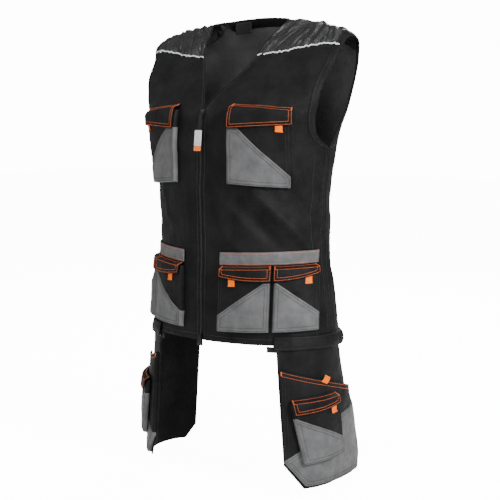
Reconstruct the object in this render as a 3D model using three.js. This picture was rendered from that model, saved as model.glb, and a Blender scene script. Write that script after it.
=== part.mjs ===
// A sleeveless work vest with chest pockets, a bank of lower pockets and two holster panels that
// hang from zips under the hem. Millimetres, +Z up, +X to the wearer's left, the front towards -Y.
// The origin lies between the two neck points, where the vest sits on the shoulders.
import * as THREE from "three";

// Lengths of the body, measured down from the neck points
const BODY_LENGTH = 656;
const NECK_RISE = 12;
const NECK_DROP = 182;
const SHOULDER_DROP = 50;
const ARMHOLE_DEPTH = 212;
const HOLSTER_LENGTH = 290;

// Half widths and depths of the body
const NECK_HALF_WIDTH = 102;
const SHOULDER_HALF_WIDTH = 263;
const CHEST_HALF_WIDTH = 212;
const WAIST_HALF_WIDTH = 203;
const HEM_HALF_WIDTH = 224;
const FRONT_DEPTH = 156;
const BACK_DEPTH = 131;
const SHOULDER_SHIFT = 17;
const ARMHOLE_FORWARD = 62;
const ARMHOLE_BACKWARD = 51;

// Cloth and clearances
const CLOTH = 2;
const TRIM = 1.4;
const GAP = 0.6;
const SEAM = 0.6;

// Front zip
const ZIP_TEETH_WIDTH = 4.8;
const ZIP_TAPE_WIDTH = 26;
const SLIDER_WIDTH = 9;
const SLIDER_LENGTH = 15;
const SLIDER_DEPTH = 5;
const STRAP_WIDTH = 5;
const STRAP_LENGTH = 40;
const TAG_WIDTH = 17;
const TAG_LENGTH = 42;
const TAG_TURN = 0.13;
const END_PULL_WIDTH = 12;
const END_PULL_LENGTH = 24;

// Edges and trims
const FACING_WIDTH = 16;
const PIPING_WIDTH = 3;
const LABEL_WIDTH = 36;
const LABEL_HEIGHT = 24;
const LABEL_SHIFT = -50;
const LABEL_DROP = 0.5;

// Chest pockets, measured on the cloth: across from the centre front, down from the neck points
const CHEST_POCKET_ACROSS = 67;
const CHEST_POCKET_WIDTH = 126;
const CHEST_POCKET_TOP = 188;
const CHEST_POCKET_HEIGHT = 145;
const CHEST_POCKET_DEPTH = 10;
const CHEST_POCKET_TILT = 0.06;
const CHEST_FLAP_ABOVE = 14;
const CHEST_FLAP_FALL = 35;

// The bank of lower pockets: a band over an inner and an outer pocket
const BANK_ACROSS = 47;
const BANK_TOP = 473;
const BANK_TILT = -0.03;
const BANK_BAND_HEIGHT = 25;
const BANK_POCKET_DROP = 34;
const INNER_POCKET_WIDTH = 107;
const OUTER_POCKET_WIDTH = 93;
const BANK_POCKET_SPACE = 8;
const BANK_POCKET_HEIGHT = 126;
const BANK_POCKET_DEPTH = 11;
const BANK_FLAP_ABOVE = 7;
const BANK_FLAP_FALL = 24;

// Orange webbing tabs
const TAB_WIDTH = 14;
const TAB_HEIGHT = 14;
const TAB_TUCK = 9;

// Holster panels: across from their front edge, down from the hem
const HOLSTER_WIDTH = 236;
const FRONT_CUT_ACROSS = 40;
const FRONT_CUT_UP = 48;
const BACK_CUT_ACROSS = 22;
const BACK_CUT_UP = 32;
const HOLSTER_LAYER_STEP = 6;
const POUCH_DEPTH = 9;
const POUCH_TOP_DOWN = 50;
const POUCH_TOP_SLANT = 66;
const POUCH_LOOP_AT = 0.4;
const HOLSTER_POCKET_ACROSS = 18;
const HOLSTER_POCKET_WIDTH = 102;
const HOLSTER_POCKET_TOP = 116;
const HOLSTER_POCKET_HEIGHT = 122;
const HOLSTER_POCKET_DEPTH = 9;
const HOLSTER_POCKET_TILT = -0.08;
const HOLSTER_POCKET_LEAN = 0.16;
const HOLSTER_FLAP_ABOVE = 8;
const HOLSTER_FLAP_FALL = 22;

// The band at the hem that covers the holster zip
const HEM_FLAP_BEFORE = 12;
const HEM_FLAP_HEIGHT = 26;
const HEM_FLAP_BELOW = 9;
const HEM_FLAP_PUFF = 3;

const ARMPIT = SHOULDER_DROP + ARMHOLE_DEPTH;
const BELOW_ARMPIT = BODY_LENGTH - ARMPIT;

// Horizontal sections of the body from the back neckline down to the hem. "down" is measured from
// the neck points; the outline is a superellipse with its own depth to the front and to the back.
const SECTIONS = [
  { down: -NECK_RISE, half: 0.76 * NECK_HALF_WIDTH, front: 0.02, back: 0.35, shift: 1.0, power: 2.2 },
  { down: -0.33 * NECK_RISE, half: 0.9 * NECK_HALF_WIDTH, front: 0.03, back: 0.43, shift: 1.0, power: 2.2 },
  { down: 0, half: NECK_HALF_WIDTH, front: 0.04, back: 0.46, shift: 1.0, power: 2.2 },
  { down: 0.08 * SHOULDER_DROP, half: 0.545 * SHOULDER_HALF_WIDTH, front: 0.055, back: 0.485, shift: 1.0, power: 2.2 },
  { down: 0.24 * SHOULDER_DROP, half: 0.707 * SHOULDER_HALF_WIDTH, front: 0.105, back: 0.52, shift: 0.95, power: 2.2 },
  { down: 0.46 * SHOULDER_DROP, half: 0.867 * SHOULDER_HALF_WIDTH, front: 0.175, back: 0.573, shift: 0.94, power: 2.2 },
  { down: 0.72 * SHOULDER_DROP, half: 0.962 * SHOULDER_HALF_WIDTH, front: 0.265, back: 0.641, shift: 0.94, power: 2.2 },
  { down: SHOULDER_DROP, half: SHOULDER_HALF_WIDTH, front: 0.36, back: 0.718, shift: 0.94, power: 2.2 },
  { down: SHOULDER_DROP + 0.12 * ARMHOLE_DEPTH, half: 0.989 * SHOULDER_HALF_WIDTH, front: 0.449, back: 0.817, shift: 0.94, power: 2.2 },
  { down: SHOULDER_DROP + 0.35 * ARMHOLE_DEPTH, half: 0.943 * SHOULDER_HALF_WIDTH, front: 0.673, back: 0.931, shift: 0.88, power: 2.3 },
  { down: SHOULDER_DROP + 0.57 * ARMHOLE_DEPTH, half: 0.89 * SHOULDER_HALF_WIDTH, front: 0.91, back: 0.992, shift: 0.76, power: 2.3 },
  { down: SHOULDER_DROP + 0.71 * ARMHOLE_DEPTH, half: 1.057 * CHEST_HALF_WIDTH, front: 0.994, back: 1.0, shift: 0.65, power: 2.3 },
  { down: SHOULDER_DROP + 0.9 * ARMHOLE_DEPTH, half: CHEST_HALF_WIDTH, front: 1.0, back: 0.977, shift: 0.47, power: 2.25 },
  { down: ARMPIT + 0.07 * BELOW_ARMPIT, half: 0.976 * CHEST_HALF_WIDTH, front: 0.974, back: 0.924, shift: 0.24, power: 2.15 },
  { down: ARMPIT + 0.26 * BELOW_ARMPIT, half: WAIST_HALF_WIDTH, front: 0.955, back: 0.84, shift: 0.0, power: 2.05 },
  { down: ARMPIT + 0.51 * BELOW_ARMPIT, half: 0.995 * WAIST_HALF_WIDTH, front: 0.942, back: 0.824, shift: 0.0, power: 2.0 },
  { down: ARMPIT + 0.76 * BELOW_ARMPIT, half: 0.95 * HEM_HALF_WIDTH, front: 0.96, back: 0.855, shift: 0.0, power: 2.05 },
  { down: BODY_LENGTH, half: HEM_HALF_WIDTH, front: 0.974, back: 0.885, shift: 0.0, power: 2.1 },
];

// The neckline from the bottom of the V to the neck point, as shares of its drop and half width
const NECKLINE = [
  { down: 0, across: 1 },
  { down: 0.11, across: 0.95 },
  { down: 0.22, across: 0.86 },
  { down: 0.41, across: 0.69 },
  { down: 0.63, across: 0.43 },
  { down: 0.79, across: 0.23 },
  { down: 1, across: 0 },
];

// The armhole from the shoulder tip to the armpit: how far its edges lie before and behind its middle
const ARMHOLE = [
  { down: 0, front: 0.1, back: 0.1 },
  { down: 0.06, front: 0.4, back: 0.25 },
  { down: 0.14, front: 0.5, back: 0.44 },
  { down: 0.35, front: 0.81, back: 0.86 },
  { down: 0.52, front: 0.97, back: 1 },
  { down: 0.66, front: 1, back: 0.87 },
  { down: 0.79, front: 0.87, back: 0.6 },
  { down: 0.9, front: 0.6, back: 0.34 },
  { down: 1, front: 0, back: 0 },
];

// The front seam of the yoke from the neckline to the armhole, as shares of the shoulder drop
const YOKE_FRONT = [
  { across: 0, down: 1.48 },
  { across: 0.33, down: 1.36 },
  { across: 0.56, down: 1.2 },
  { across: 0.8, down: 1.1 },
  { across: 1, down: 1.2 },
];

// The top edge of the back from its centre: first the neckline, then the back seam of the yoke
const BACK_TOP = [
  { at: 0, across: 0, rise: 1, down: 0 },
  { at: 0.14, across: 0.4 * NECK_HALF_WIDTH, rise: 0.85, down: 0 },
  { at: 0.28, across: 0.82 * NECK_HALF_WIDTH, rise: 0.42, down: 0 },
  { at: 0.46, across: 0.52 * SHOULDER_HALF_WIDTH, rise: 0, down: 0.46 },
  { at: 0.7, across: 0.75 * SHOULDER_HALF_WIDTH, rise: 0, down: 0.95 },
  { at: 0.87, across: 0.88 * SHOULDER_HALF_WIDTH, rise: 0, down: 1.3 },
  { at: 1, across: 0.955 * SHOULDER_HALF_WIDTH, rise: 0, down: 1.6 },
];
const YOKE_BACK_START = 0.28;

// The main folds: ridges along a line, placed by the share of the quarter girth from the centre
// front (positive to the wearer's left) and by the share of the body length
const FOLDS = [
  { from: -0.72, fromDown: 0.14, to: -0.8, toDown: 0.22, height: 10, width: 45 },
  { from: 0.47, fromDown: 0.565, to: 0.83, toDown: 0.7, height: 6, width: 15 },
  { from: 0.25, fromDown: 0.6, to: 0.5, toDown: 0.69, height: -3, width: 20 },
  { from: 0.93, fromDown: 0.5, to: 0.88, toDown: 0.66, height: 3, width: 12 },
  { from: -0.3, fromDown: 0.56, to: -0.62, toDown: 0.69, height: 4, width: 16 },
  { from: 1.5, fromDown: 0.42, to: 1.25, toDown: 0.62, height: 5, width: 18 },
  { from: -1.55, fromDown: 0.4, to: -1.2, toDown: 0.6, height: 5, width: 18 },
];

// Each holster panel: where its front edge hangs on the hem, measured round from the centre front,
// how far that edge drifts round towards the foot, and the section that its foot swings out to
const HOLSTERS = [
  { name: "left", side: 1, start: 178, drift: 14, half: 236, front: 150, back: 184, power: 2.9 },
  { name: "right", side: -1, start: 146, drift: 8, half: 236, front: 152, back: 120, power: 2.2 },
];

const SIDES = [
  { name: "left", side: 1 },
  { name: "right", side: -1 },
];

// Materials
function cloth(color, roughness) {
  return new THREE.MeshStandardMaterial({ color, roughness, metalness: 0 });
}
const blackCloth = () => cloth(0x242427, 0.85);
const greyCloth = () => cloth(0x77787b, 0.85);
const yokeCloth = () => cloth(0x4c4d50, 0.7);
const orangeWebbing = () => cloth(0xf08a3c, 0.7);
const silverPiping = () => cloth(0xb9bcbe, 0.4);
const blackPlastic = () => cloth(0x1c1c1e, 0.45);
const tagRubber = () => cloth(0xa8a8a6, 0.55);

const vest = new THREE.Group();
vest.name = "work_vest";

function lerp(a, b, t) {
  return a + (b - a) * t;
}

// A smooth curve through the rows of a table: reads column "value" at "x" of column "key"
function along(table, key, value, x) {
  const last = table.length - 1;
  let i = 0;
  while (i < last - 1 && x > table[i + 1][key]) i += 1;
  const step = (k) => table[k + 1][key] - table[k][key];
  const slope = (k) => (table[k + 1][value] - table[k][value]) / step(k);
  const tangent = (k) => {
    if (k === 0) return slope(0);
    if (k === last) return slope(last - 1);
    const before = slope(k - 1);
    const after = slope(k);
    if (before * after <= 0) return 0;
    return (2 * before * after) / (before + after);
  };
  const width = step(i);
  const t = Math.min(1, Math.max(0, (x - table[i][key]) / width));
  const t2 = t * t;
  const t3 = t2 * t;
  return (
    (2 * t3 - 3 * t2 + 1) * table[i][value] +
    (t3 - 2 * t2 + t) * width * tangent(i) +
    (3 * t2 - 2 * t3) * table[i + 1][value] +
    (t3 - t2) * width * tangent(i + 1)
  );
}

// The section of the body at a height
function bodySection(z) {
  const read = (column) => along(SECTIONS, "down", column, -z);
  return {
    half: read("half"),
    front: read("front") * FRONT_DEPTH,
    back: read("back") * BACK_DEPTH,
    centre: read("shift") * SHOULDER_SHIFT,
    power: read("power"),
  };
}

// The outline of a section from the centre front round the wearer's left to the centre back, as a
// list of points with the length of cloth up to each
const RING_STEPS = 60;
function ringOf(section) {
  const points = [];
  let length = 0;
  for (let i = 0; i <= 2 * RING_STEPS; i += 1) {
    const angle = (Math.PI / 2) * (1 - i / RING_STEPS);
    const depth = angle >= 0 ? section.front : section.back;
    const cos = Math.abs(Math.cos(angle));
    const sin = Math.abs(Math.sin(angle));
    const n = section.power;
    const r = ((cos / section.half) ** n + (sin / depth) ** n) ** (-1 / n);
    const x = r * cos;
    const y = section.centre - Math.sign(angle) * r * sin;
    if (i > 0) length += Math.hypot(x - points[i - 1].x, y - points[i - 1].y);
    points.push({ x, y, length });
  }
  return { points, quarter: points[RING_STEPS].length, total: length };
}

const rings = new Map();
function bodyRing(z) {
  const key = z.toFixed(4);
  if (!rings.has(key)) rings.set(key, ringOf(bodySection(z)));
  return rings.get(key);
}

// The point of a ring at a length of cloth from the centre front, positive to the wearer's left
function shortWay(ring, length) {
  const girth = 2 * ring.total;
  return length - girth * Math.round(length / girth);
}
function onRing(ring, length) {
  const way = shortWay(ring, length);
  const side = way < 0 ? -1 : 1;
  const s = Math.abs(way);
  let low = 0;
  let high = ring.points.length - 1;
  while (high - low > 1) {
    const middle = (low + high) >> 1;
    if (ring.points[middle].length > s) high = middle;
    else low = middle;
  }
  const a = ring.points[low];
  const b = ring.points[high];
  const t = (s - a.length) / (b.length - a.length);
  return { x: side * lerp(a.x, b.x, t), y: lerp(a.y, b.y, t) };
}

// Quarter turns round the body: 0 at the centre front, 1 at the left side seam, 2 at the centre
// back, and -1 at the right side seam
function lengthAt(ring, turn) {
  const side = turn < 0 ? -1 : 1;
  const t = Math.abs(turn);
  if (t <= 1) return side * t * ring.quarter;
  return side * (ring.quarter + (t - 1) * (ring.total - ring.quarter));
}
function turnAt(ring, length) {
  const side = length < 0 ? -1 : 1;
  const s = Math.abs(length);
  if (s <= ring.quarter) return (side * s) / ring.quarter;
  return side * (1 + (s - ring.quarter) / (ring.total - ring.quarter));
}

// How far the folds lift the cloth at a place
const FOLD_GIRTH = 1.45 * CHEST_HALF_WIDTH;
function foldHeight(turn, z) {
  let height = 0;
  for (const fold of FOLDS) {
    const ax = fold.from * FOLD_GIRTH;
    const ay = -fold.fromDown * BODY_LENGTH;
    const bx = fold.to * FOLD_GIRTH;
    const by = -fold.toDown * BODY_LENGTH;
    const px = turn * FOLD_GIRTH;
    const run = (bx - ax) ** 2 + (by - ay) ** 2;
    const t = Math.min(1, Math.max(0, ((px - ax) * (bx - ax) + (z - ay) * (by - ay)) / run));
    const away = Math.hypot(px - lerp(ax, bx, t), z - lerp(ay, by, t));
    height += fold.height * Math.exp(-((away / fold.width) ** 2)) * Math.sin(Math.PI * (0.15 + 0.7 * t));
  }
  return height;
}

// The surface of the body at a length of cloth and a height; offset() gives a point that stands off
// it, with the folds
function bodySurface(length, z) {
  const p = onRing(bodyRing(z), length);
  return new THREE.Vector3(p.x, p.y, z);
}
const PROBE = 1.5;
function normalOf(surface, length, z) {
  const along = surface(length + PROBE, z).sub(surface(length - PROBE, z));
  const up = surface(length, z + PROBE).sub(surface(length, z - PROBE));
  return along.cross(up).normalize();
}
function offset(length, z, out) {
  const ring = bodyRing(z);
  const lift = foldHeight(turnAt(ring, shortWay(ring, length)), z);
  return bodySurface(length, z).addScaledVector(normalOf(bodySurface, length, z), out + lift);
}

// A closed solid on a grid of cells: us across, vs up and ds outwards. Only cells for which
// filled() is true hold material, and place() gives each corner its point. Where turned() is true
// the faces are split along their other diagonal.
function cellSolid({ us, vs, ds, filled, place, mirrored, turned }) {
  const isSolid = (i, j, k) =>
    i >= 0 && j >= 0 && k >= 0 &&
    i < us.length - 1 && j < vs.length - 1 && k < ds.length - 1 &&
    (!filled || filled(i, j, k));
  const numbers = new Map();
  const positions = [];
  const triangles = [];
  const corner = (i, j, k) => {
    const key = `${i} ${j} ${k}`;
    if (!numbers.has(key)) {
      numbers.set(key, numbers.size);
      const p = place(us[i], vs[j], ds[k]);
      positions.push(p.x, p.y, p.z);
    }
    return numbers.get(key);
  };
  const quad = (a, b, c, d) => {
    if (mirrored) triangles.push(a, c, b, a, d, c);
    else triangles.push(a, b, c, a, c, d);
  };
  const face = (i, a, b, c, d) => {
    if (turned && turned(i)) quad(b, c, d, a);
    else quad(a, b, c, d);
  };
  for (let i = 0; i < us.length - 1; i += 1) {
    for (let j = 0; j < vs.length - 1; j += 1) {
      for (let k = 0; k < ds.length - 1; k += 1) {
        if (!isSolid(i, j, k)) continue;
        const c = (di, dj, dk) => corner(i + di, j + dj, k + dk);
        if (!isSolid(i, j, k + 1)) face(i, c(0, 0, 1), c(1, 0, 1), c(1, 1, 1), c(0, 1, 1));
        if (!isSolid(i, j, k - 1)) face(i, c(0, 0, 0), c(0, 1, 0), c(1, 1, 0), c(1, 0, 0));
        if (!isSolid(i, j - 1, k)) quad(c(0, 0, 0), c(1, 0, 0), c(1, 0, 1), c(0, 0, 1));
        if (!isSolid(i, j + 1, k)) quad(c(0, 1, 0), c(0, 1, 1), c(1, 1, 1), c(1, 1, 0));
        if (!isSolid(i - 1, j, k)) quad(c(0, 0, 0), c(0, 0, 1), c(0, 1, 1), c(0, 1, 0));
        if (!isSolid(i + 1, j, k)) quad(c(1, 0, 0), c(1, 1, 0), c(1, 1, 1), c(1, 0, 1));
      }
    }
  }
  const geometry = new THREE.BufferGeometry();
  geometry.setAttribute("position", new THREE.Float32BufferAttribute(positions, 3));
  geometry.setIndex(triangles);
  geometry.computeVertexNormals();
  return geometry;
}

function addPiece(name, geometry, material) {
  const mesh = new THREE.Mesh(geometry, material);
  mesh.name = name;
  vest.add(mesh);
  return mesh;
}

// Evenly spaced values from a to b in a number of steps
function spread(a, b, steps) {
  return Array.from({ length: steps + 1 }, (_, i) => lerp(a, b, i / steps));
}

// The three edges of the body cloth, as turns round the body at a height
function neckTurn(z) {
  const down = Math.min(1, Math.max(0, -z / NECK_DROP));
  const across = along(NECKLINE, "down", "across", down) * NECK_HALF_WIDTH;
  return turnOfPoint(z, Math.max(across, ZIP_TEETH_WIDTH / 2 + SEAM), 1);
}
function turnOfPoint(z, across, front) {
  const ring = bodyRing(z);
  const half = front > 0 ? ring.points.slice(0, RING_STEPS + 1) : ring.points.slice(RING_STEPS);
  let best = half[0];
  for (let i = 1; i < half.length; i += 1) {
    const a = half[i - 1];
    const b = half[i];
    if ((a.x - across) * (b.x - across) <= 0 && a.x !== b.x) {
      const t = (across - a.x) / (b.x - a.x);
      return turnAt(ring, lerp(a.length, b.length, t));
    }
    if (Math.abs(b.x - across) < Math.abs(best.x - across)) best = b;
  }
  return turnAt(ring, best.length);
}
function armholeTurn(z, front) {
  const down = Math.min(1, Math.max(0, (-z - SHOULDER_DROP) / ARMHOLE_DEPTH));
  const reach = front > 0 ? ARMHOLE_FORWARD : -ARMHOLE_BACKWARD;
  const share = along(ARMHOLE, "down", front > 0 ? "front" : "back", down);
  const ring = bodyRing(z);
  const seam = (front * SEAM) / 2 / ring.quarter;
  const wanted = bodySection(z).centre - reach * share;
  const points = ring.points;
  for (let i = 1; i < points.length; i += 1) {
    const a = points[i - 1];
    const b = points[i];
    if (a.y <= wanted && wanted <= b.y) {
      const t = (wanted - a.y) / (b.y - a.y);
      return turnAt(ring, lerp(a.length, b.length, t)) - seam;
    }
  }
  return 1 - seam;
}

// A front panel: across 0 at the zip and neckline to 1 at the side seam and armhole
const FRONT_TOP_SHORT = PIPING_WIDTH / 2 + GAP;
function frontTop(across) {
  return -along(YOKE_FRONT, "across", "down", across) * SHOULDER_DROP - FRONT_TOP_SHORT;
}

// Rows of the body panels: 0 at the hem, 1 at the armpit and 2 at their top edge
const ROWS_BELOW = 9;
const NECK_ROW = 1 + (ARMPIT - NECK_DROP) / (ARMPIT + frontTop(0));
const LAST_ROW = 2 - FACING_WIDTH / (ARMPIT + NECK_RISE);
const rowsBelow = spread(0, 1, ROWS_BELOW);
const rowsToNeck = [1, (1 + NECK_ROW) / 2, NECK_ROW];
const rowsToTop = [NECK_ROW, ...spread(NECK_ROW, LAST_ROW, 4).slice(1), 2];
const rowsAbove = [...rowsToNeck, ...rowsToTop.slice(1)];
const bodyRows = [...rowsBelow, ...rowsAbove.slice(1)];
function panelHeight(row, top) {
  return row > 1 ? lerp(-ARMPIT, top, row - 1) : lerp(-BODY_LENGTH, -ARMPIT, row);
}

const FRONT_COLUMNS = 10;
function frontPlace(across, row) {
  const z = panelHeight(row, frontTop(across));
  const turn = lerp(neckTurn(z), armholeTurn(z, 1), across);
  return { z, length: lengthAt(bodyRing(z), turn) };
}

// The back panel: across -1 at the right side to 1 at the left. Where the shoulder is nearly level
// a seam needs only a small step in height.
function backSeam(share) {
  const rise = along(BACK_TOP, "at", "rise", share) * NECK_RISE;
  const z = rise - along(BACK_TOP, "at", "down", share) * SHOULDER_DROP;
  const across = along(BACK_TOP, "at", "across", share);
  const depthAt = (height) => {
    const ring = bodyRing(height);
    return onRing(ring, lengthAt(ring, turnOfPoint(height, across, -1))).y;
  };
  const step = SEAM / Math.hypot(1, depthAt(z - 1) - depthAt(z));
  return { z, across, step };
}
function backTop(share) {
  const { z, step } = backSeam(share);
  return share >= YOKE_BACK_START ? z - step : z;
}
function backPlace(across, row) {
  const share = Math.abs(across);
  const top = backTop(share);
  const topRing = bodyRing(top);
  const topTurn = turnOfPoint(top, along(BACK_TOP, "at", "across", share), -1);
  const fromCentre = topRing.total - lengthAt(topRing, topTurn);
  const z = panelHeight(row, top);
  const ring = bodyRing(z);
  const even = share * (ring.total - lengthAt(ring, armholeTurn(z, -1)));
  const length = ring.total - lerp(even, fromCentre, Math.max(0, row - 1) ** 2);
  return { z, length: across < 0 ? -length : length };
}

const YOKE_COLUMNS = 12;
const BACK_NECK_COLUMNS = spread(0, YOKE_BACK_START, 3);
const BACK_YOKE_COLUMNS = spread(YOKE_BACK_START, 1, YOKE_COLUMNS);
function backPanel() {
  const place = (across, row, out) => {
    const at = backPlace(-across, row);
    return offset(at.length, at.z, out);
  };
  const half = [...BACK_NECK_COLUMNS, ...BACK_YOKE_COLUMNS.slice(1)];
  const us = [...half.slice(1).reverse().map((share) => -share), ...half];
  return cellSolid({ us, vs: bodyRows, ds: [-CLOTH, 0], place, turned: (i) => us[i] >= 0 });
}
addPiece("back_panel", backPanel(), blackCloth());

function frontPanel(side) {
  const place = (across, row, out) => {
    const at = frontPlace(across, row);
    return offset(side * at.length, at.z, out);
  };
  return cellSolid({ us: spread(0, 1, FRONT_COLUMNS), vs: bodyRows, ds: [-CLOTH, 0], place, mirrored: side < 0 });
}

// A yoke: along 0 at the neck to 1 at the shoulder tip, over -1 at its front seam, 0 on the ridge
// and 1 at its back seam
function ridgeDown(across) {
  let high = 0;
  let low = SHOULDER_DROP;
  for (let i = 0; i < 30; i += 1) {
    const middle = (high + low) / 2;
    if (bodySection(-middle).half < across) high = middle;
    else low = middle;
  }
  return (high + low) / 2;
}
const TIP_SHARE = 0.972;
function yokePlace(alongShoulder, over) {
  const ridgeAcross = lerp(NECK_HALF_WIDTH, TIP_SHARE * SHOULDER_HALF_WIDTH, alongShoulder);
  const ridgeZ = -ridgeDown(ridgeAcross);
  let endZ;
  let endAcross;
  if (over < 0) {
    endZ = frontTop(alongShoulder) + 2 * FRONT_TOP_SHORT;
    const turn = lerp(neckTurn(endZ), armholeTurn(endZ, 1), alongShoulder);
    const ring = bodyRing(endZ);
    endAcross = onRing(ring, lengthAt(ring, turn)).x;
  } else {
    const seam = backSeam(lerp(YOKE_BACK_START, 1, alongShoulder));
    endZ = seam.z + seam.step;
    endAcross = seam.across;
  }
  const z = lerp(ridgeZ, endZ, over * over);
  const across = lerp(ridgeAcross, endAcross, Math.abs(over) ** 1.5);
  const turn = turnOfPoint(z, across, over < 0 ? 1 : -1);
  return { z, length: lengthAt(bodyRing(z), turn) };
}
const YOKE_ROWS = spread(-1, 1, 8);
const YOKE_GATHERS = 4;
const YOKE_GATHER_HEIGHT = 1.6;
function yoke(side) {
  const place = (alongShoulder, over, out) => {
    const at = yokePlace(alongShoulder, over);
    const gather =
      YOKE_GATHER_HEIGHT *
      Math.sin(Math.PI * YOKE_GATHERS * alongShoulder) ** 2 *
      Math.sin(Math.PI * Math.abs(over));
    return offset(side * at.length, at.z, out + gather);
  };
  const us = spread(0, 1, YOKE_COLUMNS);
  return cellSolid({ us, vs: YOKE_ROWS, ds: [-CLOTH, 0], place, mirrored: side < 0 });
}

// The piping fills the seam between a front panel and its yoke
function piping(side) {
  const place = (across, up, out) => {
    const z = frontTop(across) + FRONT_TOP_SHORT + (up * PIPING_WIDTH) / 2;
    const turn = lerp(neckTurn(z), armholeTurn(z, 1), across);
    return offset(side * lengthAt(bodyRing(z), turn), z, out);
  };
  return cellSolid({ us: spread(0, 1, FRONT_COLUMNS), vs: [-1, 1], ds: [-CLOTH, TRIM], place, mirrored: side < 0 });
}

// Facings lie inside an edge and follow the facets of the panels. Each station holds a point of the
// edge and one further in, on the panels' own columns and rows.
const FACING_INNER = -CLOTH - GAP - TRIM;
const FACING_OUTER = -CLOTH - GAP;
function facing(stations, mirrored) {
  const place = (i, across, out) => {
    const { start, end } = stations[i];
    const at = across === 0 ? start : end;
    return offset(at.length, at.z, out);
  };
  const us = stations.map((_, i) => i);
  const turned = (i) => stations[i].turned;
  return cellSolid({ us, vs: [0, 1], ds: [FACING_INNER, FACING_OUTER], place, mirrored, turned });
}
const FACING_IN_YOKE = 1 / YOKE_COLUMNS;
function armholeFacing(side) {
  const inFront = 1 - 1 / FRONT_COLUMNS;
  const inBack = BACK_YOKE_COLUMNS.at(-2);
  const stations = [
    ...rowsAbove.map((row) => ({ start: frontPlace(inFront, row), end: frontPlace(1, row) })),
    ...YOKE_ROWS.map((over) => ({ start: yokePlace(1 - FACING_IN_YOKE, over), end: yokePlace(1, over) })),
    ...rowsAbove.toReversed().map((row) => ({ start: backPlace(inBack, row), end: backPlace(1, row) })),
  ];
  const signed = stations.map(({ start, end }) => ({
    start: { length: side * start.length, z: start.z },
    end: { length: side * end.length, z: end.z },
  }));
  return facing(signed, side > 0);
}

// The neck facing runs up the left of the V, round the back neck and down the right. It narrows
// where it turns the corner between the yoke and the back neck.
const FACING_CORNER = 0.25;
function neckFacing() {
  const inFront = 1 / FRONT_COLUMNS;
  const inYoke = (over) => (over < 1 ? FACING_IN_YOKE : FACING_CORNER * FACING_IN_YOKE);
  const front = [
    ...rowsToTop.map((row) => ({ start: frontPlace(0, row), end: frontPlace(inFront, row) })),
    ...YOKE_ROWS.map((over) => ({ start: yokePlace(0, over), end: yokePlace(inYoke(over), over) })),
  ];
  const back = BACK_NECK_COLUMNS.toReversed().map((share) => ({
    start: backPlace(share, 2),
    end: backPlace(share, LAST_ROW),
    turned: true,
  }));
  const left = [...front, ...back];
  const other = ({ length, z }) => ({ length: -length, z });
  const right = left
    .slice(0, -1)
    .map(({ start, end, turned }) => ({ start: other(start), end: other(end), turned: !turned }));
  return facing([...left, ...right.toReversed()], true);
}

// Places on the body are measured across from the centre front and down from the neck points
function onBody(side) {
  return (across, down, out) => offset(side * across, -down, out);
}

// A flat piece of cloth or webbing on a frame: its edges are functions of the share across it, and
// lift() says how far its inner face lies from the frame
function sheetOn({ frame, from, to, top, bottom, lift, thick, columns = 6, rows = 3, us, lean = 0, mirrored }) {
  const place = (u, v, out) => {
    const down = lerp(bottom(u), top(u), v);
    const across = lerp(from, to, u) + lean * down;
    return frame(across, down, lift(u, down) + out * thick);
  };
  const shares = us || spread(0, 1, columns);
  return cellSolid({ us: shares, vs: spread(0, 1, rows), ds: [0, 1], place, mirrored });
}

// Flat facets dip this far below a curved cloth, so pieces that lie over each other allow for it
const CHORD = 0.4;
// Pockets are trays: a front wall, two gussets and a bottom, sewn to the cloth behind them and open
// at the top. The profile says what share of the depth they stand out, from the bottom to the top.
const POCKET_PROFILE = [
  { at: 0, out: 1 },
  { at: 0.79, out: 1 },
  { at: 1, out: 0.8 },
];
function tableValue(table, column, u) {
  let i = 0;
  while (i < table.length - 2 && u > table[i + 1].at) i += 1;
  const a = table[i];
  const b = table[i + 1];
  return lerp(a[column], b[column], (u - a.at) / (b.at - a.at));
}
function pocketOut(pocket, up) {
  return GAP + CHORD + pocket.depth * tableValue(POCKET_PROFILE, "out", Math.min(1, Math.max(0, up)));
}
// The place of a share across and up a straight pocket, on the cloth that it is sewn to
function straightSpot(pocket, share, up) {
  const lean = pocket.lean || 0;
  return {
    across: pocket.across + share * pocket.width + lean * (1 - up) * pocket.height,
    down: pocket.top + pocket.tilt * share * pocket.width + (1 - up) * pocket.height,
  };
}
function onPocket(pocket, share, up, out) {
  const { across, down } = pocket.spot ? pocket.spot(share, up) : straightSpot(pocket, share, up);
  return pocket.frame(across, down, out);
}
const POCKET_COLUMNS = 6;
function pocketTray(pocket) {
  const wall = CLOTH / pocket.width;
  const floor = CLOTH / pocket.height;
  const columns = pocket.columns || spread(0, 1, POCKET_COLUMNS);
  const us = [0, wall, ...columns.slice(1, -1), 1 - wall, 1];
  const rows = pocket.rows || [0, 0.42, 0.79, 1];
  const vs = [0, floor, ...rows.slice(1)];
  const place = (u, v, layer) => {
    const face = pocketOut(pocket, v);
    const out = [GAP + CHORD, face - CLOTH, face][layer];
    return onPocket(pocket, u, v, out);
  };
  const filled = (i, j, k) => k === 1 || j === 0 || i === 0 || i === us.length - 2;
  return cellSolid({ us, vs, ds: [0, 1, 2], filled, place, mirrored: pocket.mirrored });
}
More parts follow.
